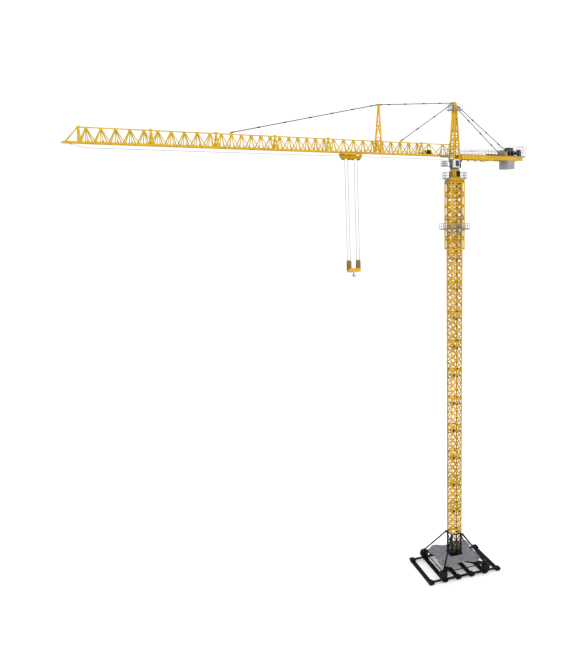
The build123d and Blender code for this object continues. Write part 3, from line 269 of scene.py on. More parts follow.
class Mesh:
    """Collects tubes, bars, blocks and plates, in millimetres, into one mesh."""

    def __init__(self):
        self.v, self.f, self.s = [], [], []

    def ring(self, c, x, y, r, n, ry=None, ph=0.0):
        i0 = len(self.v)
        ry = r if ry is None else ry
        for k in range(n):
            a = 2 * math.pi * k / n + ph
            p = c + x * (r * math.cos(a)) + y * (ry * math.sin(a))
            self.v.append((p.x * MM, p.y * MM, p.z * MM))
        return i0

    def axes(self, d):
        up = Vector((0, 0, 1)) if abs(d.z) < 0.9 else Vector((1, 0, 0))
        x = up.cross(d).normalized()
        return x, d.cross(x).normalized()

    def tube(self, p, q, r, n=8, r1=None, caps=True):
        p, q = Vector(p), Vector(q)
        d = (q - p)
        if d.length < 1e-6:
            return
        d.normalize()
        x, y = self.axes(d)
        a = self.ring(p, x, y, r, n)
        b = self.ring(q, x, y, r if r1 is None else r1, n)
        for k in range(n):
            k2 = (k + 1) % n
            self.f.append((a + k, a + k2, b + k2, b + k))
            self.s.append(True)
        if caps:
            self.f.append(tuple(a + k for k in reversed(range(n))))
            self.f.append(tuple(b + k for k in range(n)))
            self.s += [False, False]

    def path(self, pts, r, n=8):
        """Tube through many points, with a joined ring at each."""
        pts = [Vector(p) for p in pts]
        prev = None
        first = None
        x = None
        for i, p in enumerate(pts):
            if i == 0:
                d = (pts[1] - p).normalized()
            elif i == len(pts) - 1:
                d = (p - pts[-2]).normalized()
            else:
                d = ((pts[i + 1] - p).normalized() + (p - pts[i - 1]).normalized()).normalized()
            if x is None:
                x, y = self.axes(d)
            else:
                x = (x - d * x.dot(d)).normalized()
                y = d.cross(x).normalized()
            a = self.ring(p, x, y, r, n)
            if prev is not None:
                for k in range(n):
                    k2 = (k + 1) % n
                    self.f.append((prev + k, prev + k2, a + k2, a + k))
                    self.s.append(True)
            else:
                first = a
            prev = a
        self.f.append(tuple(first + k for k in reversed(range(n))))
        self.f.append(tuple(prev + k for k in range(n)))
        self.s += [False, False]

    def bar(self, p, q, w, h=None, bevel=None, side=None):
        """Rectangular bar, w across and h in the other direction, edges eased."""
        p, q = Vector(p), Vector(q)
        h = w if h is None else h
        d = (q - p).normalized()
        if side is None:
            up = Vector((0, 0, 1)) if abs(d.z) < 0.95 else Vector((CT, ST, 0))
            x = up.cross(d).normalized()
        else:
            x = Vector(side)
            x = (x - d * x.dot(d)).normalized()
        y = d.cross(x).normalized()
        b = min(w, h) * 0.14 if bevel is None else bevel
        prof = [(w / 2 - b, -h / 2), (w / 2, -h / 2 + b), (w / 2, h / 2 - b), (w / 2 - b, h / 2),
                (-w / 2 + b, h / 2), (-w / 2, h / 2 - b), (-w / 2, -h / 2 + b), (-w / 2 + b, -h / 2)]
        i0 = len(self.v)
        for c in (p, q):
            for a_, b_ in prof:
                o = c + x * a_ + y * b_
                self.v.append((o.x * MM, o.y * MM, o.z * MM))
        for k in range(8):
            k2 = (k + 1) % 8
            self.f.append((i0 + k, i0 + k2, i0 + 8 + k2, i0 + 8 + k))
            self.s.append(False)
        self.f.append(tuple(i0 + k for k in reversed(range(8))))
        self.f.append(tuple(i0 + 8 + k for k in range(8)))
        self.s += [False, False]

    def angle(self, p, q, w, t, sx, sy, fx=(1, 0, 0), fy=(0, 1, 0)):
        """L-section leg: corner outside, flanges running inward along -sx, -sy."""
        p, q = Vector(p), Vector(q)
        X, Y = Vector(fx), Vector(fy)
        prof = [(0, 0), (-w, 0), (-w, -t), (-t, -t), (-t, -w), (0, -w)]
        i0 = len(self.v)
        for c in (p, q):
            for a_, b_ in prof:
                o = c + X * (a_ * sx) + Y * (b_ * sy)
                self.v.append((o.x * MM, o.y * MM, o.z * MM))
        flip = sx * sy > 0
        for k in range(6):
            k2 = (k + 1) % 6
            fc = (i0 + k, i0 + k2, i0 + 6 + k2, i0 + 6 + k)
            self.f.append(fc if not flip else fc[::-1])
            self.s.append(False)
        for base in (0, 6):
            for quad in ((0, 1, 2, 3), (0, 3, 4, 5)):
                fc = tuple(i0 + base + k for k in quad)
                if (base == 0) == flip:
                    fc = fc[::-1]
                self.f.append(fc[::-1])
                self.s.append(False)

    def block(self, c, size, turn=0.0, bevel=0.35):
        """Block with chamfered edges; c is its centre."""
        lx, ly, lz = [s / 2 for s in size]
        b = min(bevel, lx * 0.45, ly * 0.45, lz * 0.45)
        ct, st = math.cos(turn), math.sin(turn)
        i0 = len(self.v)

        def add(x, y, z):
            self.v.append(((c[0] + x * ct - y * st) * MM, (c[1] + x * st + y * ct) * MM,
                           (c[2] + z) * MM))
        rings = [(-lz, b), (-lz + b, 0.0), (lz - b, 0.0), (lz, b)]
        for z, ins in rings:
            for sx, sy in ((-1, -1), (1, -1), (1, 1), (-1, 1)):
                if sx * sy > 0:
                    add(sx * (lx - ins - (b if not ins else 0) * 0), sy * (ly - ins - b), z) if sx < 0 else add(sx * (lx - ins), sy * (ly - ins - b), z)
                    add(sx * (lx - ins - b), sy * (ly - ins), z)
                else:
                    add(sx * (lx - ins - b), sy * (ly - ins), z)
                    add(sx * (lx - ins), sy * (ly - ins - b), z)
        order = {0: [0, 1, 2, 3, 4, 5, 6, 7]}[0]
        for j in range(3):
            for k in range(8):
                k2 = (k + 1) % 8
                self.f.append((i0 + 8 * j + k, i0 + 8 * j + k2, i0 + 8 * (j + 1) + k2, i0 + 8 * (j + 1) + k))
                self.s.append(False)
        self.f.append(tuple(i0 + k for k in reversed(range(8))))
        self.f.append(tuple(i0 + 24 + k for k in range(8)))
        self.s += [False, False]

    def plate(self, pts, n, t):
        """Flat plate from a loop of points, t thick along n, centred on it."""
        n = Vector(n).normalized() * (t / 2)
        i0 = len(self.v)
        k = len(pts)
        for sgn in (-1, 1):
            for p in pts:
                o = Vector(p) + n * sgn
                self.v.append((o.x * MM, o.y * MM, o.z * MM))
        for j in range(k):
            j2 = (j + 1) % k
            self.f.append((i0 + j, i0 + j2, i0 + k + j2, i0 + k + j))
            self.s.append(False)
        self.f.append(tuple(i0 + j for j in reversed(range(k))))
        self.f.append(tuple(i0 + k + j for j in range(k)))
        self.s += [False, False]

    def obj(self, name, mat, body, *replaced, ride=True):
        me = bpy.data.meshes.new(name)
        me.from_pydata(self.v, [], self.f)
        me.polygons.foreach_set("use_smooth", self.s)
        me.materials.append(mat)
        me.validate()
        me.update()
        o = bpy.data.objects.new(name, me)
        scene.collection.objects.link(o)
        # consistent outward faces
        import bmesh
        bm = bmesh.new()
        bm.from_mesh(me)
        bmesh.ops.recalc_face_normals(bm, faces=bm.faces)
        bm.to_mesh(me)
        bm.free()
        if ride:
            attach(o, body)
        if replaced:
            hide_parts(*replaced)
        return o


CORNERS = [(-1, -1), (1, -1), (1, 1), (-1, 1)]
FACES = [((-1, -1), (1, -1)), ((1, -1), (1, 1)), ((1, 1), (-1, 1)), ((-1, 1), (-1, -1))]

# ---------------------------------------------------------------------- mast
HALF = 13.8
LEG = 2.6


def mast_section(M, z0, h, bays):
    for sx, sy in CORNERS:
        M.bar(B(sx * (HALF - LEG / 2), sy * (HALF - LEG / 2), z0),
              B(sx * (HALF - LEG / 2), sy * (HALF - LEG / 2), z0 + h), LEG, LEG, bevel=0.35)
        # splice blocks at both ends
        for z in (z0 + 2.0, z0 + h - 2.0):
            M.block(B(sx * (HALF - 1.6), sy * (HALF - 1.6), z), (3.16, 3.16, 3.6), BASE_TURN, 0.3)
    o = HALF - 1.0
    for a, b in FACES:
        ax, ay, bx, by = a[0] * o, a[1] * o, b[0] * o, b[1] * o
        M.tube(B(ax, ay, z0 + 1.0), B(bx, by, z0 + 1.0), 0.95, 8)
        M.tube(B(ax, ay, z0 + h - 1.0), B(bx, by, z0 + h - 1.0), 0.95, 8)
        bh = (h - 2.0) / bays
        nx, ny = (a[0] + b[0]) / 2, (a[1] + b[1]) / 2
        for j in range(bays):
            zb = z0 + 1.0 + j * bh
            M.tube(B(ax, ay, zb), B(bx, by, zb + bh / 2), 1.3, 8)
            M.tube(B(bx, by, zb + bh / 2), B(ax, ay, zb + bh), 1.3, 8)
            M.tube(B(bx - nx * 0.5, by - ny * 0.5, zb), B(ax - nx * 0.5, ay - ny * 0.5, zb + bh / 2), 1.3, 8)
            M.tube(B(ax - nx * 0.5, ay - ny * 0.5, zb + bh / 2), B(bx - nx * 0.5, by - ny * 0.5, zb + bh), 1.3, 8)
            # small gussets where the diagonals meet the legs
            for (px, py, dx, dy) in ((ax, ay, bx - ax, by - ay), (bx, by, ax - bx, ay - by)):
                L_ = math.hypot(dx, dy)
                dx, dy = dx / L_, dy / L_
                g = [B(px + dx * 0.6, py + dy * 0.6, zb + bh / 2 - 2.4),
                     B(px + dx * 3.0, py + dy * 3.0, zb + bh / 2 - 0.9),
                     B(px + dx * 3.0, py + dy * 3.0, zb + bh / 2 + 0.9),
                     B(px + dx * 0.6, py + dy * 0.6, zb + bh / 2 + 2.4)]
                n_ = Vector(B(nx, ny, 0))
                M.plate(g, n_, 0.5)


M = Mesh()
for k in range(12):
    mast_section(M, 93.0 + 69.0 * k + 0.02, 68.96, 2)
mast_section(M, 921.02, 23.5, 1)
M.obj("mast_lattice", MAT["crane_yellow"], "undercarriage", "mast_sections")

# ladder with hoops, and the cable run up one inner corner
M = Mesh()
for x in (3.6, 8.2):
    M.tube(B(x, 7.0, 30.0), B(x, 7.0, 930.0), 0.5, 8)
for i in range(149):
    M.tube(B(3.6, 7.0, 33.0 + 6.0 * i), B(8.2, 7.0, 33.0 + 6.0 * i), 0.34, 6)
for i in range(36):
    z = 50.0 + 24.0 * i
    hoop = [B(5.9 + 3.4 * math.cos(math.pi * t / 6), 7.0 - 4.6 * math.sin(math.pi * t / 6), z)
            for t in range(7)]
    M.path(hoop, 0.32, 6)
for dx, dy in ((3.0, 4.7), (5.9, 2.4), (8.8, 4.7)):
    M.tube(B(dx, dy, 50.0), B(dx, dy, 890.0), 0.26, 6)
M.obj("mast_ladder_hoops", MAT["crane_yellow"], "undercarriage", "mast_ladder")

M = Mesh()
for k in range(1, 13):
    z = 93.0 + 69.0 * k - 14.0
    for (x0, x1, y0, y1) in ((-11.0, 11.0, -11.0, 2.0), (-11.0, 2.0, 2.0, 11.0)):
        M.block(B((x0 + x1) / 2, (y0 + y1) / 2, z + 0.45), (x1 - x0, y1 - y0, 0.9), BASE_TURN, 0.12)
    for i in range(9):
        M.bar(B(-10.0 + 2.4 * i, -10.6, z + 0.9), B(-10.0 + 2.4 * i, 1.6, z + 0.9), 0.4, 0.5)
    # brackets and kick strip
    M.bar(B(-11.0, -10.9, z + 1.6), B(11.0, -10.9, z + 1.6), 0.5, 2.4)
    M.bar(B(-10.9, -11.0, z + 1.6), B(-10.9, 11.0, z + 1.6), 0.5, 2.4)
    M.bar(B(-11.0, -9.0, z - 0.6), B(11.0, -9.0, z - 0.6), 1.0, 1.2)
    M.bar(B(-11.0, 6.0, z - 0.6), B(2.0, 6.0, z - 0.6), 1.0, 1.2)
M.obj("mast_landing_decks", MAT["platform_dark"], "undercarriage", "mast_landings")


# ------------------------------------------------------------------------ jib
JZ, JH, JHALF, CH = 997.8, 26.5, 11.0, 2.2
JOINTS = [14.0, 92.0, 207.0, 322.0, 437.0, 552.0, 667.0, 782.0]
CELLS = [2, 5, 5, 6, 6, 5, 5]


def jib_section(M, K, t0, t1, cells, first=False):
    x0, x1 = -(t1 - 0.02), -(t0 + 0.02)
    zb, zt = JZ + CH / 2, JZ + JH - CH / 2
    for y in (-JHALF, JHALF):
        K.bar((x0, y, zb), (x1, y, zb), CH + 0.4, CH + 0.2, bevel=0.3)
    M.tube((x0, 0, zt), (x1, 0, zt), 1.0, 12)
    L_ = x1 - x0
    pitch = L_ / cells
    for sy in (-1, 1):
        for xe in (x0 + 0.9, x1 - 0.9):
            M.bar((xe, sy * JHALF, zb), (xe, 0, zt), 1.6, 1.4)
        for i in range(cells):
            a = x0 + (i + 0.5) * pitch
            M.tube((a, sy * JHALF, zb), (a, 0, zt), 0.7, 8)
        for i in range(cells):
            a = x0 + i * pitch
            M.tube((max(a, x0 + 0.9), sy * JHALF, zb), (a + pitch / 2, 0, zt), 1.0, 8)
            M.tube((a + pitch / 2, 0, zt), (min(a + pitch, x1 - 0.9), sy * JHALF, zb), 1.0, 8)
            # cleat under the top chord
            K.plate([(a + pitch / 2 - 2.6, sy * 0.9, zt + 0.4), (a + pitch / 2 + 2.6, sy * 0.9, zt + 0.4),
                     (a + pitch / 2 + 2.2, sy * 2.2, zt - 3.8), (a + pitch / 2 - 2.2, sy * 2.2, zt - 3.8)],
                    (0, sy, 0.3), 0.7)
            K.plate([(a + pitch / 2 - 1.8, sy * 10.6, zb + 1.2), (a + pitch / 2 + 1.8, sy * 10.6, zb + 1.2),
                     (a + pitch / 2 + 1.2, sy * 9.3, zb + 4.2), (a + pitch / 2 - 1.2, sy * 9.3, zb + 4.2)],
                    (0, sy, 0.3), 0.6)
    for xe in (x0 + 0.9, x1 - 0.9):
        M.bar((xe, -JHALF, zb), (xe, JHALF, zb), 1.4, 1.2)
    for i in range(cells):
        a = x0 + i * pitch
        s = 1 if i % 2 else -1
        if i:
            M.tube((a, -JHALF, zb), (a, JHALF, zb), 0.8, 8)
        M.tube((a + 0.5, -s * JHALF, zb), (a + pitch - 0.5, s * JHALF, zb), 0.75, 8)
    # pinned lugs on the chords at both ends
    for xe in (x0 + 1.4, x1 - 1.4):
        M.block((xe, 0, JZ + JH + 0.7), (2.4, 1.2, 2.2), 0.0, 0.25)
        M.tube((xe, -0.85, JZ + JH + 0.9), (xe, 0.85, JZ + JH + 0.9), 0.5, 8)
        for sy in (-1, 1):
            M.block((xe, sy * JHALF, zb), (2.6, 2.3, 2.3), 0.0, 0.2)


for k in range(7):
    M = Mesh()
    K = Mesh()
    jib_section(M, K, JOINTS[k], JOINTS[k + 1], CELLS[k])
    K.obj("jib_cleats_%d" % k, MAT["crane_yellow"], "upper")
    if k == 0:
        for sy in (-1, 1):
            M.bar((-15.0, sy * JHALF, JZ + 1.1), (-9.45, sy * JHALF, JZ + 1.1), 1.8, 2.2)
    if k == 1:
        M.block((-147.0, 0, JZ + JH + 1.6), (5.0, 1.2, 3.6), 0.0, 0.3)
    if k == 4:
        M.block((-524.0, 0, JZ + JH + 1.6), (5.0, 1.2, 3.6), 0.0, 0.3)
    M.obj("jib_lattice_%d" % k, MAT["jib_yellow"], "upper", "jib_root" if k == 0 else "jib_section_%d" % k)

# ----------------------------------------------------------------- ropes
A_, B_, C_, D_ = -289.8, -275.5, -267.5, -253.1
TZ, RT = 987.3, 3.7
RZ = TZ + RT
H1, H2, HZ = -282.65, -260.3, 773.5


def arc(cx, cz, r, a0, a1, n=8):
    return [(cx + r * math.cos(math.radians(a0 + (a1 - a0) * i / n)), 0.0,
             cz + r * math.sin(math.radians(a0 + (a1 - a0) * i / n))) for i in range(n + 1)]


def dense(a, b, n):
    return [tuple(a[i] + (b[i] - a[i]) * k / n for i in range(3)) for k in range(1, n)]


# falls between trolley and hook block
M = Mesh()
segs = [arc(A_, TZ, RT, 90, 0), arc(H1, HZ, H1 - (A_ + RT), 180, 360), arc(B_, TZ, RT, 180, 90)]
pts = []
for s in segs:
    if pts:
        pts += dense(pts[-1], s[0], 24)
    pts += s
pts2 = []
segs = [arc(C_, TZ, RT, 90, 0), arc(H2, HZ, H2 - (C_ + RT), 180, 360), arc(D_, TZ, RT, 180, 90)]
for s in segs:
    if pts2:
        pts2 += dense(pts2[-1], s[0], 24)
    pts2 += s
M.path(pts + pts2, 0.5, 8)
falls = M.obj("hoist_falls", MAT["rope_steel"], "trolley", "hoist_rope_falls", ride=False)
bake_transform(falls)

# runs along the jib
outer = [(A_, 0, RZ)] + dense((A_, 0, RZ), (-770.0, 0, RZ), 60) + [(-770.0, 0, RZ)] \
    + dense((-770.0, 0, RZ), (-795.6, 0, JZ - 1.9), 4) + [(-795.6, 0, JZ - 1.9)]
M = Mesh()
M.path(outer, 0.36, 8)
ro = M.obj("hoist_rope_outer", MAT["rope_steel"], "upper", "jib_ropes", ride=False)
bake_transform(ro)

hx, hz, hr = 187.0, 1011.0, 4.2
knots = [(hx, -6.0, hz + hr + 0.35), (60.0, -5.2, 1011.5), (12.0, -4.2, 1009.0), (-12.0, -2.0, 1007.2),
         (-30.0, 0, 995.2), (-35.0, 0, RZ), (D_, 0, RZ)]
inner = [knots[0]]
for p_, q_ in zip(knots[:-1], knots[1:]):
    inner += dense(p_, q_, 30 if q_ is knots[-1] else 6) + [q_]
M = Mesh()
M.path(inner, 0.36, 8)
ri = M.obj("hoist_rope_inner", MAT["rope_steel"], "upper", "jib_ropes", ride=False)
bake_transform(ri)

tk = [(-78.0, -3.6, 1009.1), (-100.0, -3.6, 1003.4), (-247.3, -3.6, 1003.4)]
tr = [tk[0]] + dense(tk[0], tk[1], 4) + [tk[1]] + dense(tk[1], tk[2], 24) + [tk[2]]
M = Mesh()
M.path(tr, 0.36, 8)
rt = M.obj("trolley_rope", MAT["rope_steel"], "upper", "jib_ropes", ride=False)
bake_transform(rt)


# cheek plates and bolts on the hook block's yoke
M = Mesh()
XM = (H1 + H2) / 2
for sy in (-1, 1):
    M.block((XM, sy * 3.3, 760.6), (29.0, 0.7, 8.0), 0.0, 0.2)
    for dx in (-11.2, 11.2, -5.0, 5.0):
        M.tube((XM + dx, sy * 2.9, 760.6), (XM + dx, sy * 4.1, 760.6), 0.9, 6)
M.obj("yoke_cheeks", MAT["crane_yellow"], "hook_block")


# ------------------------------------------------------------------ railings
def I_(x, y, z):
    return (x, y, z)


def rails(M, F, x0, x1, y0, y1, z0, h, posts, open_sides=(), r=0.38, knee=0.5, toe=True):
    """Round handrails with knee rail, thickened post tops and a toe strip."""
    sides = {"y0": ((x0, y0), (x1, y0)), "y1": ((x0, y1), (x1, y1)),
             "x0": ((x0, y0), (x0, y1)), "x1": ((x1, y0), (x1, y1))}
    for key, (a, b) in sides.items():
        if key in open_sides:
            continue
        L_ = math.hypot(b[0] - a[0], b[1] - a[1])
        n = max(1, round(L_ / posts))
        M.tube(F(a[0], a[1], z0 + h - 0.35), F(b[0], b[1], z0 + h - 0.35), r, 8)
        M.tube(F(a[0], a[1], z0 + h * knee), F(b[0], b[1], z0 + h * knee), r * 0.85, 8)
        if toe:
            M.bar(F(a[0], a[1], z0 + 1.0), F(b[0], b[1], z0 + 1.0), 0.35, 1.2)
        for i in range(n + 1):
            px, py = a[0] + (b[0] - a[0]) * i / n, a[1] + (b[1] - a[1]) * i / n
            M.tube(F(px, py, z0), F(px, py, z0 + h - 0.1), r, 8)
            M.tube(F(px, py, z0 + h - 0.7), F(px, py, z0 + h - 0.02), r * 1.25, 8)


def deck(M, F, x0, x1, y0, y1, z0, t, hole=None):
    """Chequer-plate deck: plate and close raised ribs."""
    def quad(ax, ay, bx, by):
        c = F((ax + bx) / 2, (ay + by) / 2, z0 + t / 2)
        M.block(c, (bx - ax, by - ay, t), BASE_TURN if F is B else 0.0, 0.12)
        n = max(2, int((bx - ax) / 1.3))
        for i in range(n):
            x = ax + (i + 0.5) * (bx - ax) / n
            M.bar(F(x, ay + 0.3, z0 + t), F(x, by - 0.3, z0 + t), 0.3, 0.3)
    if hole:
        g = hole
        quad(x0, y0, x1, -g)
        quad(x0, g, x1, y1)
        quad(x0, -g, -g, g)
        quad(g, -g, x1, g)
    else:
        quad(x0, y0, x1, y1)


M = Mesh()
deck(M, B, -26, 26, -26, 26, 836.8, 1.0, 16.95)
rails(M, B, -25.6, 25.6, -25.6, 25.6, 837.3, 13.5, 10.0)
for sx, sy in CORNERS:
    M.bar(B(sx * 16.95, sy * 16.95, 836.0), B(sx * 25.0, sy * 25.0, 836.9), 0.9, 0.9)
M.obj("cage_platform_rails", MAT["railing_grey"], "undercarriage", "cage_platform")

M = Mesh()
for sx in (-1, 1):
    x0, x1 = (17.0, 27.0) if sx > 0 else (-27.0, -17.0)
    deck(M, B, x0, x1, -8, 8, 949.0, 1.0)
    rails(M, B, x0 + 0.4, x1 - 0.4, -7.6, 7.6, 949.5, 14.5, 5.0, ("x0",) if sx > 0 else ("x1",))
    for y in (-4.5, 0.0, 4.5):
        M.bar(B(sx * 17.4, y, 945.2), B(sx * 17.4, y, 949.2), 1.4, 1.0)
        M.bar(B(sx * 17.6, y, 945.6), B(sx * 25.0, y, 948.9), 0.6, 0.6)
M.obj("service_balcony_rails", MAT["railing_grey"], "undercarriage", "service_balconies")

M = Mesh()
deck(M, I_, -35, -24, -6, 6, 976.0, 1.0)
M.block((-16.4, 0, 976.5), (15.2, 4.0, 1.0), 0.0, 0.12)
rails(M, I_, -34.6, -24.4, -5.6, 5.6, 976.5, 11.6, 3.6)
deck(M, I_, -52, -19, -19, -12.4, 994.0, 1.0)
rails(M, I_, -51.6, -19.4, -18.6, -12.8, 994.5, 17.0, 5.0, ("y1",), toe=False)
M.obj("turret_balcony_rails", MAT["walkway_grey"], "upper", "side_balcony")

M = Mesh()
deck(M, I_, -13, 13, -12, 12, 1097.0, 0.8, 4.8)
rails(M, I_, -12.6, 12.6, -11.6, 11.6, 1097.4, 12.5, 6.2, ("x1",), r=0.33)
for sx in (-1, 1):
    for sy in (-1, 1):
        M.bar((sx * 3.9, sy * 3.9, 1091.2), (sx * 11.5, sy * 10.4, 1096.9), 0.6, 0.6)
M.obj("head_platform_rails", MAT["railing_grey"], "upper", "head_platform")

M = Mesh()
for sy in (-1, 1):
    y = sy * 15.9
    for x0, L_, n, hz_, kz, zb_ in ((16.0, 121.0, 12, 1014.3, 1008.6, 1000.6),
                                     (146.5, 58.0, 6, 1024.6, 1016.0, 1000.6)):
        M.tube((x0, y, hz_), (x0 + L_, y, hz_), 0.3, 8)
        M.tube((x0, y, kz), (x0 + L_, y, kz), 0.25, 8)
        for i in range(n + 1):
            zz = zb_ if x0 + L_ * i / n < 197 else 1001.4
            M.tube((x0 + L_ * i / n, y, zz), (x0 + L_ * i / n, y, hz_ + 0.2), 0.28, 8)
    M.bar((146.5, y, 1002.0), (204.5, y, 1002.0), 0.5, 1.6)
deck(M, I_, 197.1, 205.0, -15.7, 15.7, 1000.2, 1.4)
for z in (1013.0, 1024.6):
    M.tube((204.5, -15.9, z), (204.5, 15.9, z), 0.28, 8)
for i in range(6):
    M.tube((204.5, -15.9 + 31.8 * i / 5, 1001.0), (204.5, -15.9 + 31.8 * i / 5, 1024.8), 0.28, 8)
M.obj("counter_rails", MAT["railing_grey"], "upper", "counter_railing")

M = Mesh()
for sy in (-1, 1):
    M.bar((80.0, sy * 15.9, 1003.6), (137.0, sy * 15.9, 1003.6), 0.45, 3.0)
    for i in range(6):
        M.tube((82.0 + 10.5 * i, sy * 15.7, 1003.6), (82.0 + 10.5 * i, sy * 16.2, 1003.6), 0.45, 8)
M.obj("counter_toe_boards", MAT["toe_brown"], "upper")

# ------------------------------------------------------------- climbing cage
M = Mesh()
ci, co = 15.0, 16.8
cw = co - ci
z0c, z1c = 790.9, 944.4
for sx, sy in CORNERS:
    M.bar(B(sx * 16.2, sy * 16.2, z0c), B(sx * 16.2, sy * 16.2, z1c), 2.4, 2.4, bevel=0.3)
    for z in (z0c + 2, 836.9, 862.0, 888.0, 914.0, z1c - 4):
        M.block(B(sx * 16.2, sy * 16.2, z), (3.0, 3.0, 3.4), BASE_TURN, 0.25)
oc = co - 0.8
H_ = z1c - z0c
levels = [1.3, 26.0, 45.9, 72.0, 98.0, 124.0, H_ - 2.2]
for a, b in FACES:
    P = lambda u, z: B(a[0] * oc + (b[0] - a[0]) * oc * u, a[1] * oc + (b[1] - a[1]) * oc * u, z0c + z)
    M.bar(P(0, 1.3), P(1, 1.3), 1.2, 2.6)
    M.bar(P(0, H_ - 2.2), P(1, H_ - 2.2), 1.2, 4.4)
    for i, (za, zb) in enumerate(zip(levels[:-1], levels[1:])):
        M.bar(P(0, zb), P(1, zb), 1.2, 2.2)
        M.tube(P(0.5, za), P(0.5, zb), 0.7, 8)
        if i % 2:
            M.tube(P(0, za), P(1, zb), 1.0, 8)
        else:
            M.tube(P(1, za), P(0, zb), 1.0, 8)
M.obj("climbing_cage_frame", MAT["crane_yellow"], "undercarriage", "climbing_cage")

# ---------------------------------------------------------------- tower head
M = Mesh()
hz0, hz1 = 990.6, 1115.0
HB, HT = 9.3, 3.0


def hh(z):
    return HB + (HT - HB) * (z - hz0) / (hz1 - 6 - hz0)


for sx, sy in CORNERS:
    M.bar((sx * (HB - 0.9), sy * (HB - 0.9), hz0 + 0.1), (sx * (HT - 0.7), sy * (HT - 0.7), hz1 - 6),
          3.5, 3.5, bevel=0.4)
    M.block((sx * (HB - 1.2), sy * (HB - 1.2), hz0 + 1.0), (2.4, 2.4, 1.8), 0.0, 0.3)
hl = [992.2, 1005.5, 1026.5, 1044.0, 1060.0, 1074.0, 1086.0, 1108.6]
for (nx, ny) in ((0, -1), (1, 0), (0, 1), (-1, 0)):
    tx, ty = -ny, nx
    for i, z in enumerate(hl):
        h_ = hh(z) - 0.9
        o_ = hh(z) - 0.7
        M.bar((nx * o_ - tx * h_, ny * o_ - ty * h_, z), (nx * o_ + tx * h_, ny * o_ + ty * h_, z),
              1.2, 2.2 if i < 2 else 1.6)
        if i and i < len(hl) - 1:
            z2 = hl[i + 1]
            h2, o2 = hh(z2) - 0.9, hh(z2) - 0.7
            s_ = -1 if i % 2 else 1
            M.tube((nx * o_ + tx * h_ * s_, ny * o_ + ty * h_ * s_, z),
                   (nx * o2 - tx * h2 * s_, ny * o2 - ty * h2 * s_, z2), 1.0, 8)
M.block((0, 0, hz1 - 5.0), (7.4, 7.4, 4.0), 0.0, 0.4)
M.block((0, 0, hz1 - 1.62), (5.6, 5.0, 3.2), 0.0, 0.4)
M.tube((0, -2.7, hz1 - 1.8), (0, 2.7, hz1 - 1.8), 0.8, 10)
M.bar((-3.0, 0, 1112.2), (-8.6, 0, 1112.2), 1.2, 3.0)
for sy in (-1, 1):
    M.bar((2.0, sy * 4.0, 1106.5), (7.0, sy * 4.0, 1104.8), 1.0, 3.0)
M.block((3.0, 0, 1106.0), (1.8, 8.6, 2.4), 0.0, 0.3)
za_, zb_ = 1056.0, 1096.0
M.plate([(-hh(za_) - 0.05, -hh(za_) + 0.4, za_), (-hh(za_) - 0.05, hh(za_) - 0.4, za_),
         (-hh(zb_) - 0.05, hh(zb_) - 0.4, zb_), (-hh(zb_) - 0.05, -hh(zb_) + 0.4, zb_)], (-1, 0, 0.05), 0.6)
for nx, ny in ((0, -1), (0, 1)):
    o1, o2 = hh(za_) - 0.6, hh(zb_) - 0.6
    M.plate([(-hh(za_) + 0.8, ny * o1, za_ + 8), (-0.2, ny * o1, za_ + 8),
             (-0.2, ny * o2, zb_ + 10), (-hh(zb_) + 0.6, ny * o2, zb_ + 10)], (0, ny, 0.05), 0.6)
M.obj("tower_head_frame", MAT["crane_yellow"], "upper", "tower_head")

# ------------------------------------------------------------------- strut
M = Mesh()
for sy in (-1, 1):
    M.bar((-205.2, sy * 13.6, JZ + 0.9), (-201.4, sy * 1.6, 1093.0), 3.0, 3.0, bevel=0.4)
    M.block((-205.2, sy * 13.2, JZ + 1.7), (9.0, 1.9, 2.6), 0.0, 0.3)
    for dx in (-3.2, 3.2):
        M.tube((-205.2 + dx, sy * 12.2, JZ + 1.7), (-205.2 + dx, sy * 14.2, JZ + 1.7), 0.7, 8)
for z, hw in ((1031.0, 8.3), (1062.0, 4.6)):
    f_ = (z - JZ) / (1093.0 - JZ)
    x_ = -205.2 + f_ * 3.8
    M.bar((x_, -hw - 0.6, z), (x_, hw + 0.6, z), 1.5, 1.5)
for za, zb_, wa, wb in ((1031.0, 1062.0, 9.4, 5.6), (1062.0, 1091.0, 5.6, 2.2), (1000.5, 1031.0, 12.9, 9.4)):
    xa_ = -205.2 + (za - JZ) / (1093.0 - JZ) * 3.8
    xb_ = -205.2 + (zb_ - JZ) / (1093.0 - JZ) * 3.8
    M.bar((xa_, -wa, za), (xb_, wb, zb_), 1.3, 1.3)
    M.bar((xa_, wa, za), (xb_, -wb, zb_), 1.3, 1.3)
M.block((-201.2, 0, 1092.4), (4.6, 4.4, 3.6), 0.0, 0.35)
M.block((-201.2, 0, 1095.4), (7.0, 1.2, 3.6), 0.0, 0.3)
for sy in (-1, 1):
    for za, zb_, wa, wb in ((1004.0, 1040.0, 12.4, 8.4), (1040.0, 1090.0, 8.4, 2.2)):
        xa_ = -205.2 + (za - JZ) / (1093.0 - JZ) * 3.8
        xb_ = -205.2 + (zb_ - JZ) / (1093.0 - JZ) * 3.8
        M.plate([(xa_, sy * wa, za), (xa_, sy * (wa - 3.2), za), (xb_, sy * max(0.2, wb - 2.4), zb_),
                 (xb_, sy * wb, zb_)], (1, 0, 0), 0.7)
M.obj("jib_strut_frame", MAT["strut_orange"], "upper", "jib_strut")

# ----------------------------------------------------------------- pendants


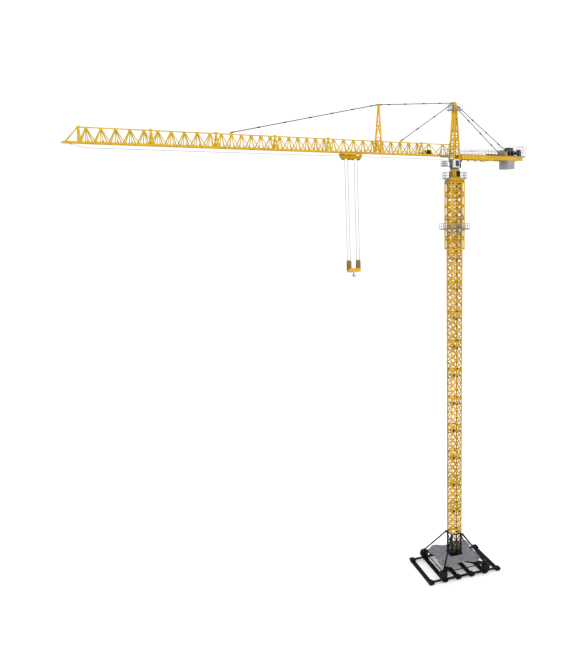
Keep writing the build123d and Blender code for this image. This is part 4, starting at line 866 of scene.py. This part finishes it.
def pendant(M, MC, a, b, couplers, r=0.85):
    a, b = Vector(a), Vector(b)
    d = (b - a).normalized()
    M.tube(a + d * 3.4, b - d * 3.4, r, 8)
    side = Vector((0, 0, 1)).cross(d).normalized()
    for p, q in ((a, a + d * 5.2), (b - d * 5.2, b)):
        for k in (-1, 1):
            o = side * (k * 1.4)
            MC.bar(p + o, q + o, 0.7, 2.0, side=side)
        mm_ = a + d * 4.4 if (p - a).length < 0.1 else b - d * 4.4
        MC.bar(mm_ - d * 0.7, mm_ + d * 0.7, 3.5, 2.0, side=side)
        pin = a if (p - a).length < 0.1 else b
        MC.tube(pin - side * 1.9, pin + side * 1.9, 0.45, 8)
    for f in couplers:
        c = a + (b - a) * f
        MC.bar(c - d * 2.2, c + d * 2.2, 2.5, 2.4, side=side)
        MC.tube(c - d * 3.4, c + d * 3.4, r * 1.35, 8)


PENDANTS = [
    ("front_upper", "pendant_front_upper", [((-7.2, 0, 1112.2), (-199.0, 0, 1096.0))], (0.18, 0.41, 0.66, 0.88)),
    ("front_long", "pendant_front_long", [((-203.6, 0, 1095.8), (-523.5, 0, JZ + JH + 2.0))],
     (0.05, 0.19, 0.34, 0.49, 0.66, 0.83)),
    ("front_short", "pendant_front_short", [((-10.4, 0, 1108.6), (-146.3, 0, JZ + JH + 2.2))], (0.34, 0.68)),
    ("rear", "pendants_rear", [((6.5, -4.0, 1105.0), (144.8, -13.6, 1012.3)),
                               ((6.5, 4.0, 1105.0), (144.8, 13.6, 1012.3))], (0.29, 0.57, 0.83)),
]
for tag, node, ends, cp in PENDANTS:
    M, MC = Mesh(), Mesh()
    for a, b in ends:
        pendant(M, MC, a, b, cp)
    M.obj("pendant_rods_" + tag, MAT["pendant_grey"], "upper", node)
    MC.obj("pendant_couplers_" + tag, MAT["coupler_dark"], "upper", node)

M = Mesh()
for u in (-8.6, -4.3, 0.0, 4.3, 8.6):
    for sy in (-1, 1):
        M.bar(B(u, sy * 9.5, 953.8), B(u, sy * 9.5, 966.4), 0.9, 0.9)
        M.bar(B(sy * 9.5, u, 953.8), B(sy * 9.5, u, 966.4), 0.9, 0.9)
for z, w_ in ((953.6, 9.6), (945.4, 16.7)):
    for a, b in FACES:
        M.bar(B(a[0] * w_, a[1] * w_, z), B(b[0] * w_, b[1] * w_, z), 0.8, 1.2)
for a, b in FACES:
    for t in (0.2, 0.5, 0.8):
        px, py = a[0] + (b[0] - a[0]) * t, a[1] + (b[1] - a[1]) * t
        M.bar(B(px * 15.3, py * 15.3, 947.6), B(px * 9.2, py * 9.2, 953.9), 0.7, 0.9)
M.obj("funnel_ribs", MAT["sheave_gold"], "undercarriage")

# ---------------------------------------------------------------- small trim
# studs on the sleepers, bolts on the frame plates
M = Mesh()
for i in range(6):
    x = (i - 2.5) * 35.8
    for k in range(31):
        y = -57.0 + 3.8 * k
        if abs(abs(y) - 57.5) < 8.4:
            continue
        M.tube(B(x - 2.4, y, 3.9), B(x - 2.4, y, 4.5), 0.75, 8, r1=0.5)
        M.tube(B(x + 2.4, y, 3.9), B(x + 2.4, y, 4.5), 0.75, 8, r1=0.5)
    for sy in (-1, 1):
        for side in (-1, 1):
            for dx in (-4.0, 4.0):
                M.tube(B(x + dx, sy * 57.5 + side * 5.4, 8.1), B(x + dx, sy * 57.5 + side * 5.4, 9.0), 1.0, 6)
M.obj("sleeper_studs", MAT["track_black"], "track")

M = Mesh()
for sx, sy in CORNERS:
    for dx, dy in CORNERS:
        M.tube(B(sx * 57.5 + dx * 4.6, sy * 57.5 + dy * 4.6, 25.3),
               B(sx * 57.5 + dx * 4.6, sy * 57.5 + dy * 4.6, 26.4), 0.9, 6)
    for t in (24.0, 30.0, 36.0):
        for o in (-3.4, 3.4):
            px, py = sx * t + o * 0.707 * sy * 0 + o * 0.0, sy * t
            M.tube(B(px, py, 25.2), B(px, py, 25.45), 0.6, 6)
M.obj("frame_bolts", MAT["base_black"], "undercarriage")

# lifting eyes on the ballast slabs
M = Mesh()
for sx in (-1, 1):
    for sy in (-1, 1):
        for px, py in ((28.0, 40.0), (44.0, 28.0)):
            ring_ = [B(sx * px + 1.5 * math.cos(t_ * math.pi / 6), sy * py, 36.9 + 1.5 * math.sin(t_ * math.pi / 6))
                     for t_ in range(7)]
            M.path(ring_, 0.35, 8)
M.obj("ballast_eyes", MAT["machine_black"], "undercarriage")

# ------------------------------------------------------------------- staging
bpy.ops.mesh.primitive_plane_add(size=30.0, location=(0, 0, 0))
floor = bpy.context.object
floor.name = "floor"
fm = bpy.data.materials.new("floor_pale")
fm.use_nodes = True
fb = fm.node_tree.nodes["Principled BSDF"]
fb.inputs["Base Color"].default_value = (0.98, 0.98, 0.975, 1)
fb.inputs["Roughness"].default_value = 0.9
fb.inputs["Specular IOR Level"].default_value = 0.1
fb.inputs["Emission Color"].default_value = (1.0, 1.0, 1.0, 1)
fb.inputs["Emission Strength"].default_value = 0.0
floor.data.materials.append(fm)

world = bpy.data.worlds.new("studio")
scene.world = world
world.use_nodes = True
bg = world.node_tree.nodes["Background"]
bg.inputs["Color"].default_value = (1.0, 1.0, 1.0, 1)
bg.inputs["Strength"].default_value = 1.08


def area(name, loc, target, size, power, colour=(1, 1, 1)):
    ld = bpy.data.lights.new(name, "AREA")
    ld.shape = "SQUARE"
    ld.size = size
    ld.energy = power
    ld.color = colour
    lo = bpy.data.objects.new(name, ld)
    scene.collection.objects.link(lo)
    lo.location = loc
    d = Vector(target) - Vector(loc)
    lo.rotation_euler = d.to_track_quat("-Z", "Y").to_euler()
    return lo


area("key", (-2.2, -2.6, 3.0), (-0.1, 0, 0.6), 2.2, 50)
area("fill", (2.6, -1.8, 1.8), (0, 0, 0.6), 2.6, 14)
area("back", (0.8, 2.8, 2.6), (0, 0, 0.6), 2.4, 14)

scene.view_settings.view_transform = "Standard"
scene.view_settings.look = "None"
scene.view_settings.exposure = 0.0
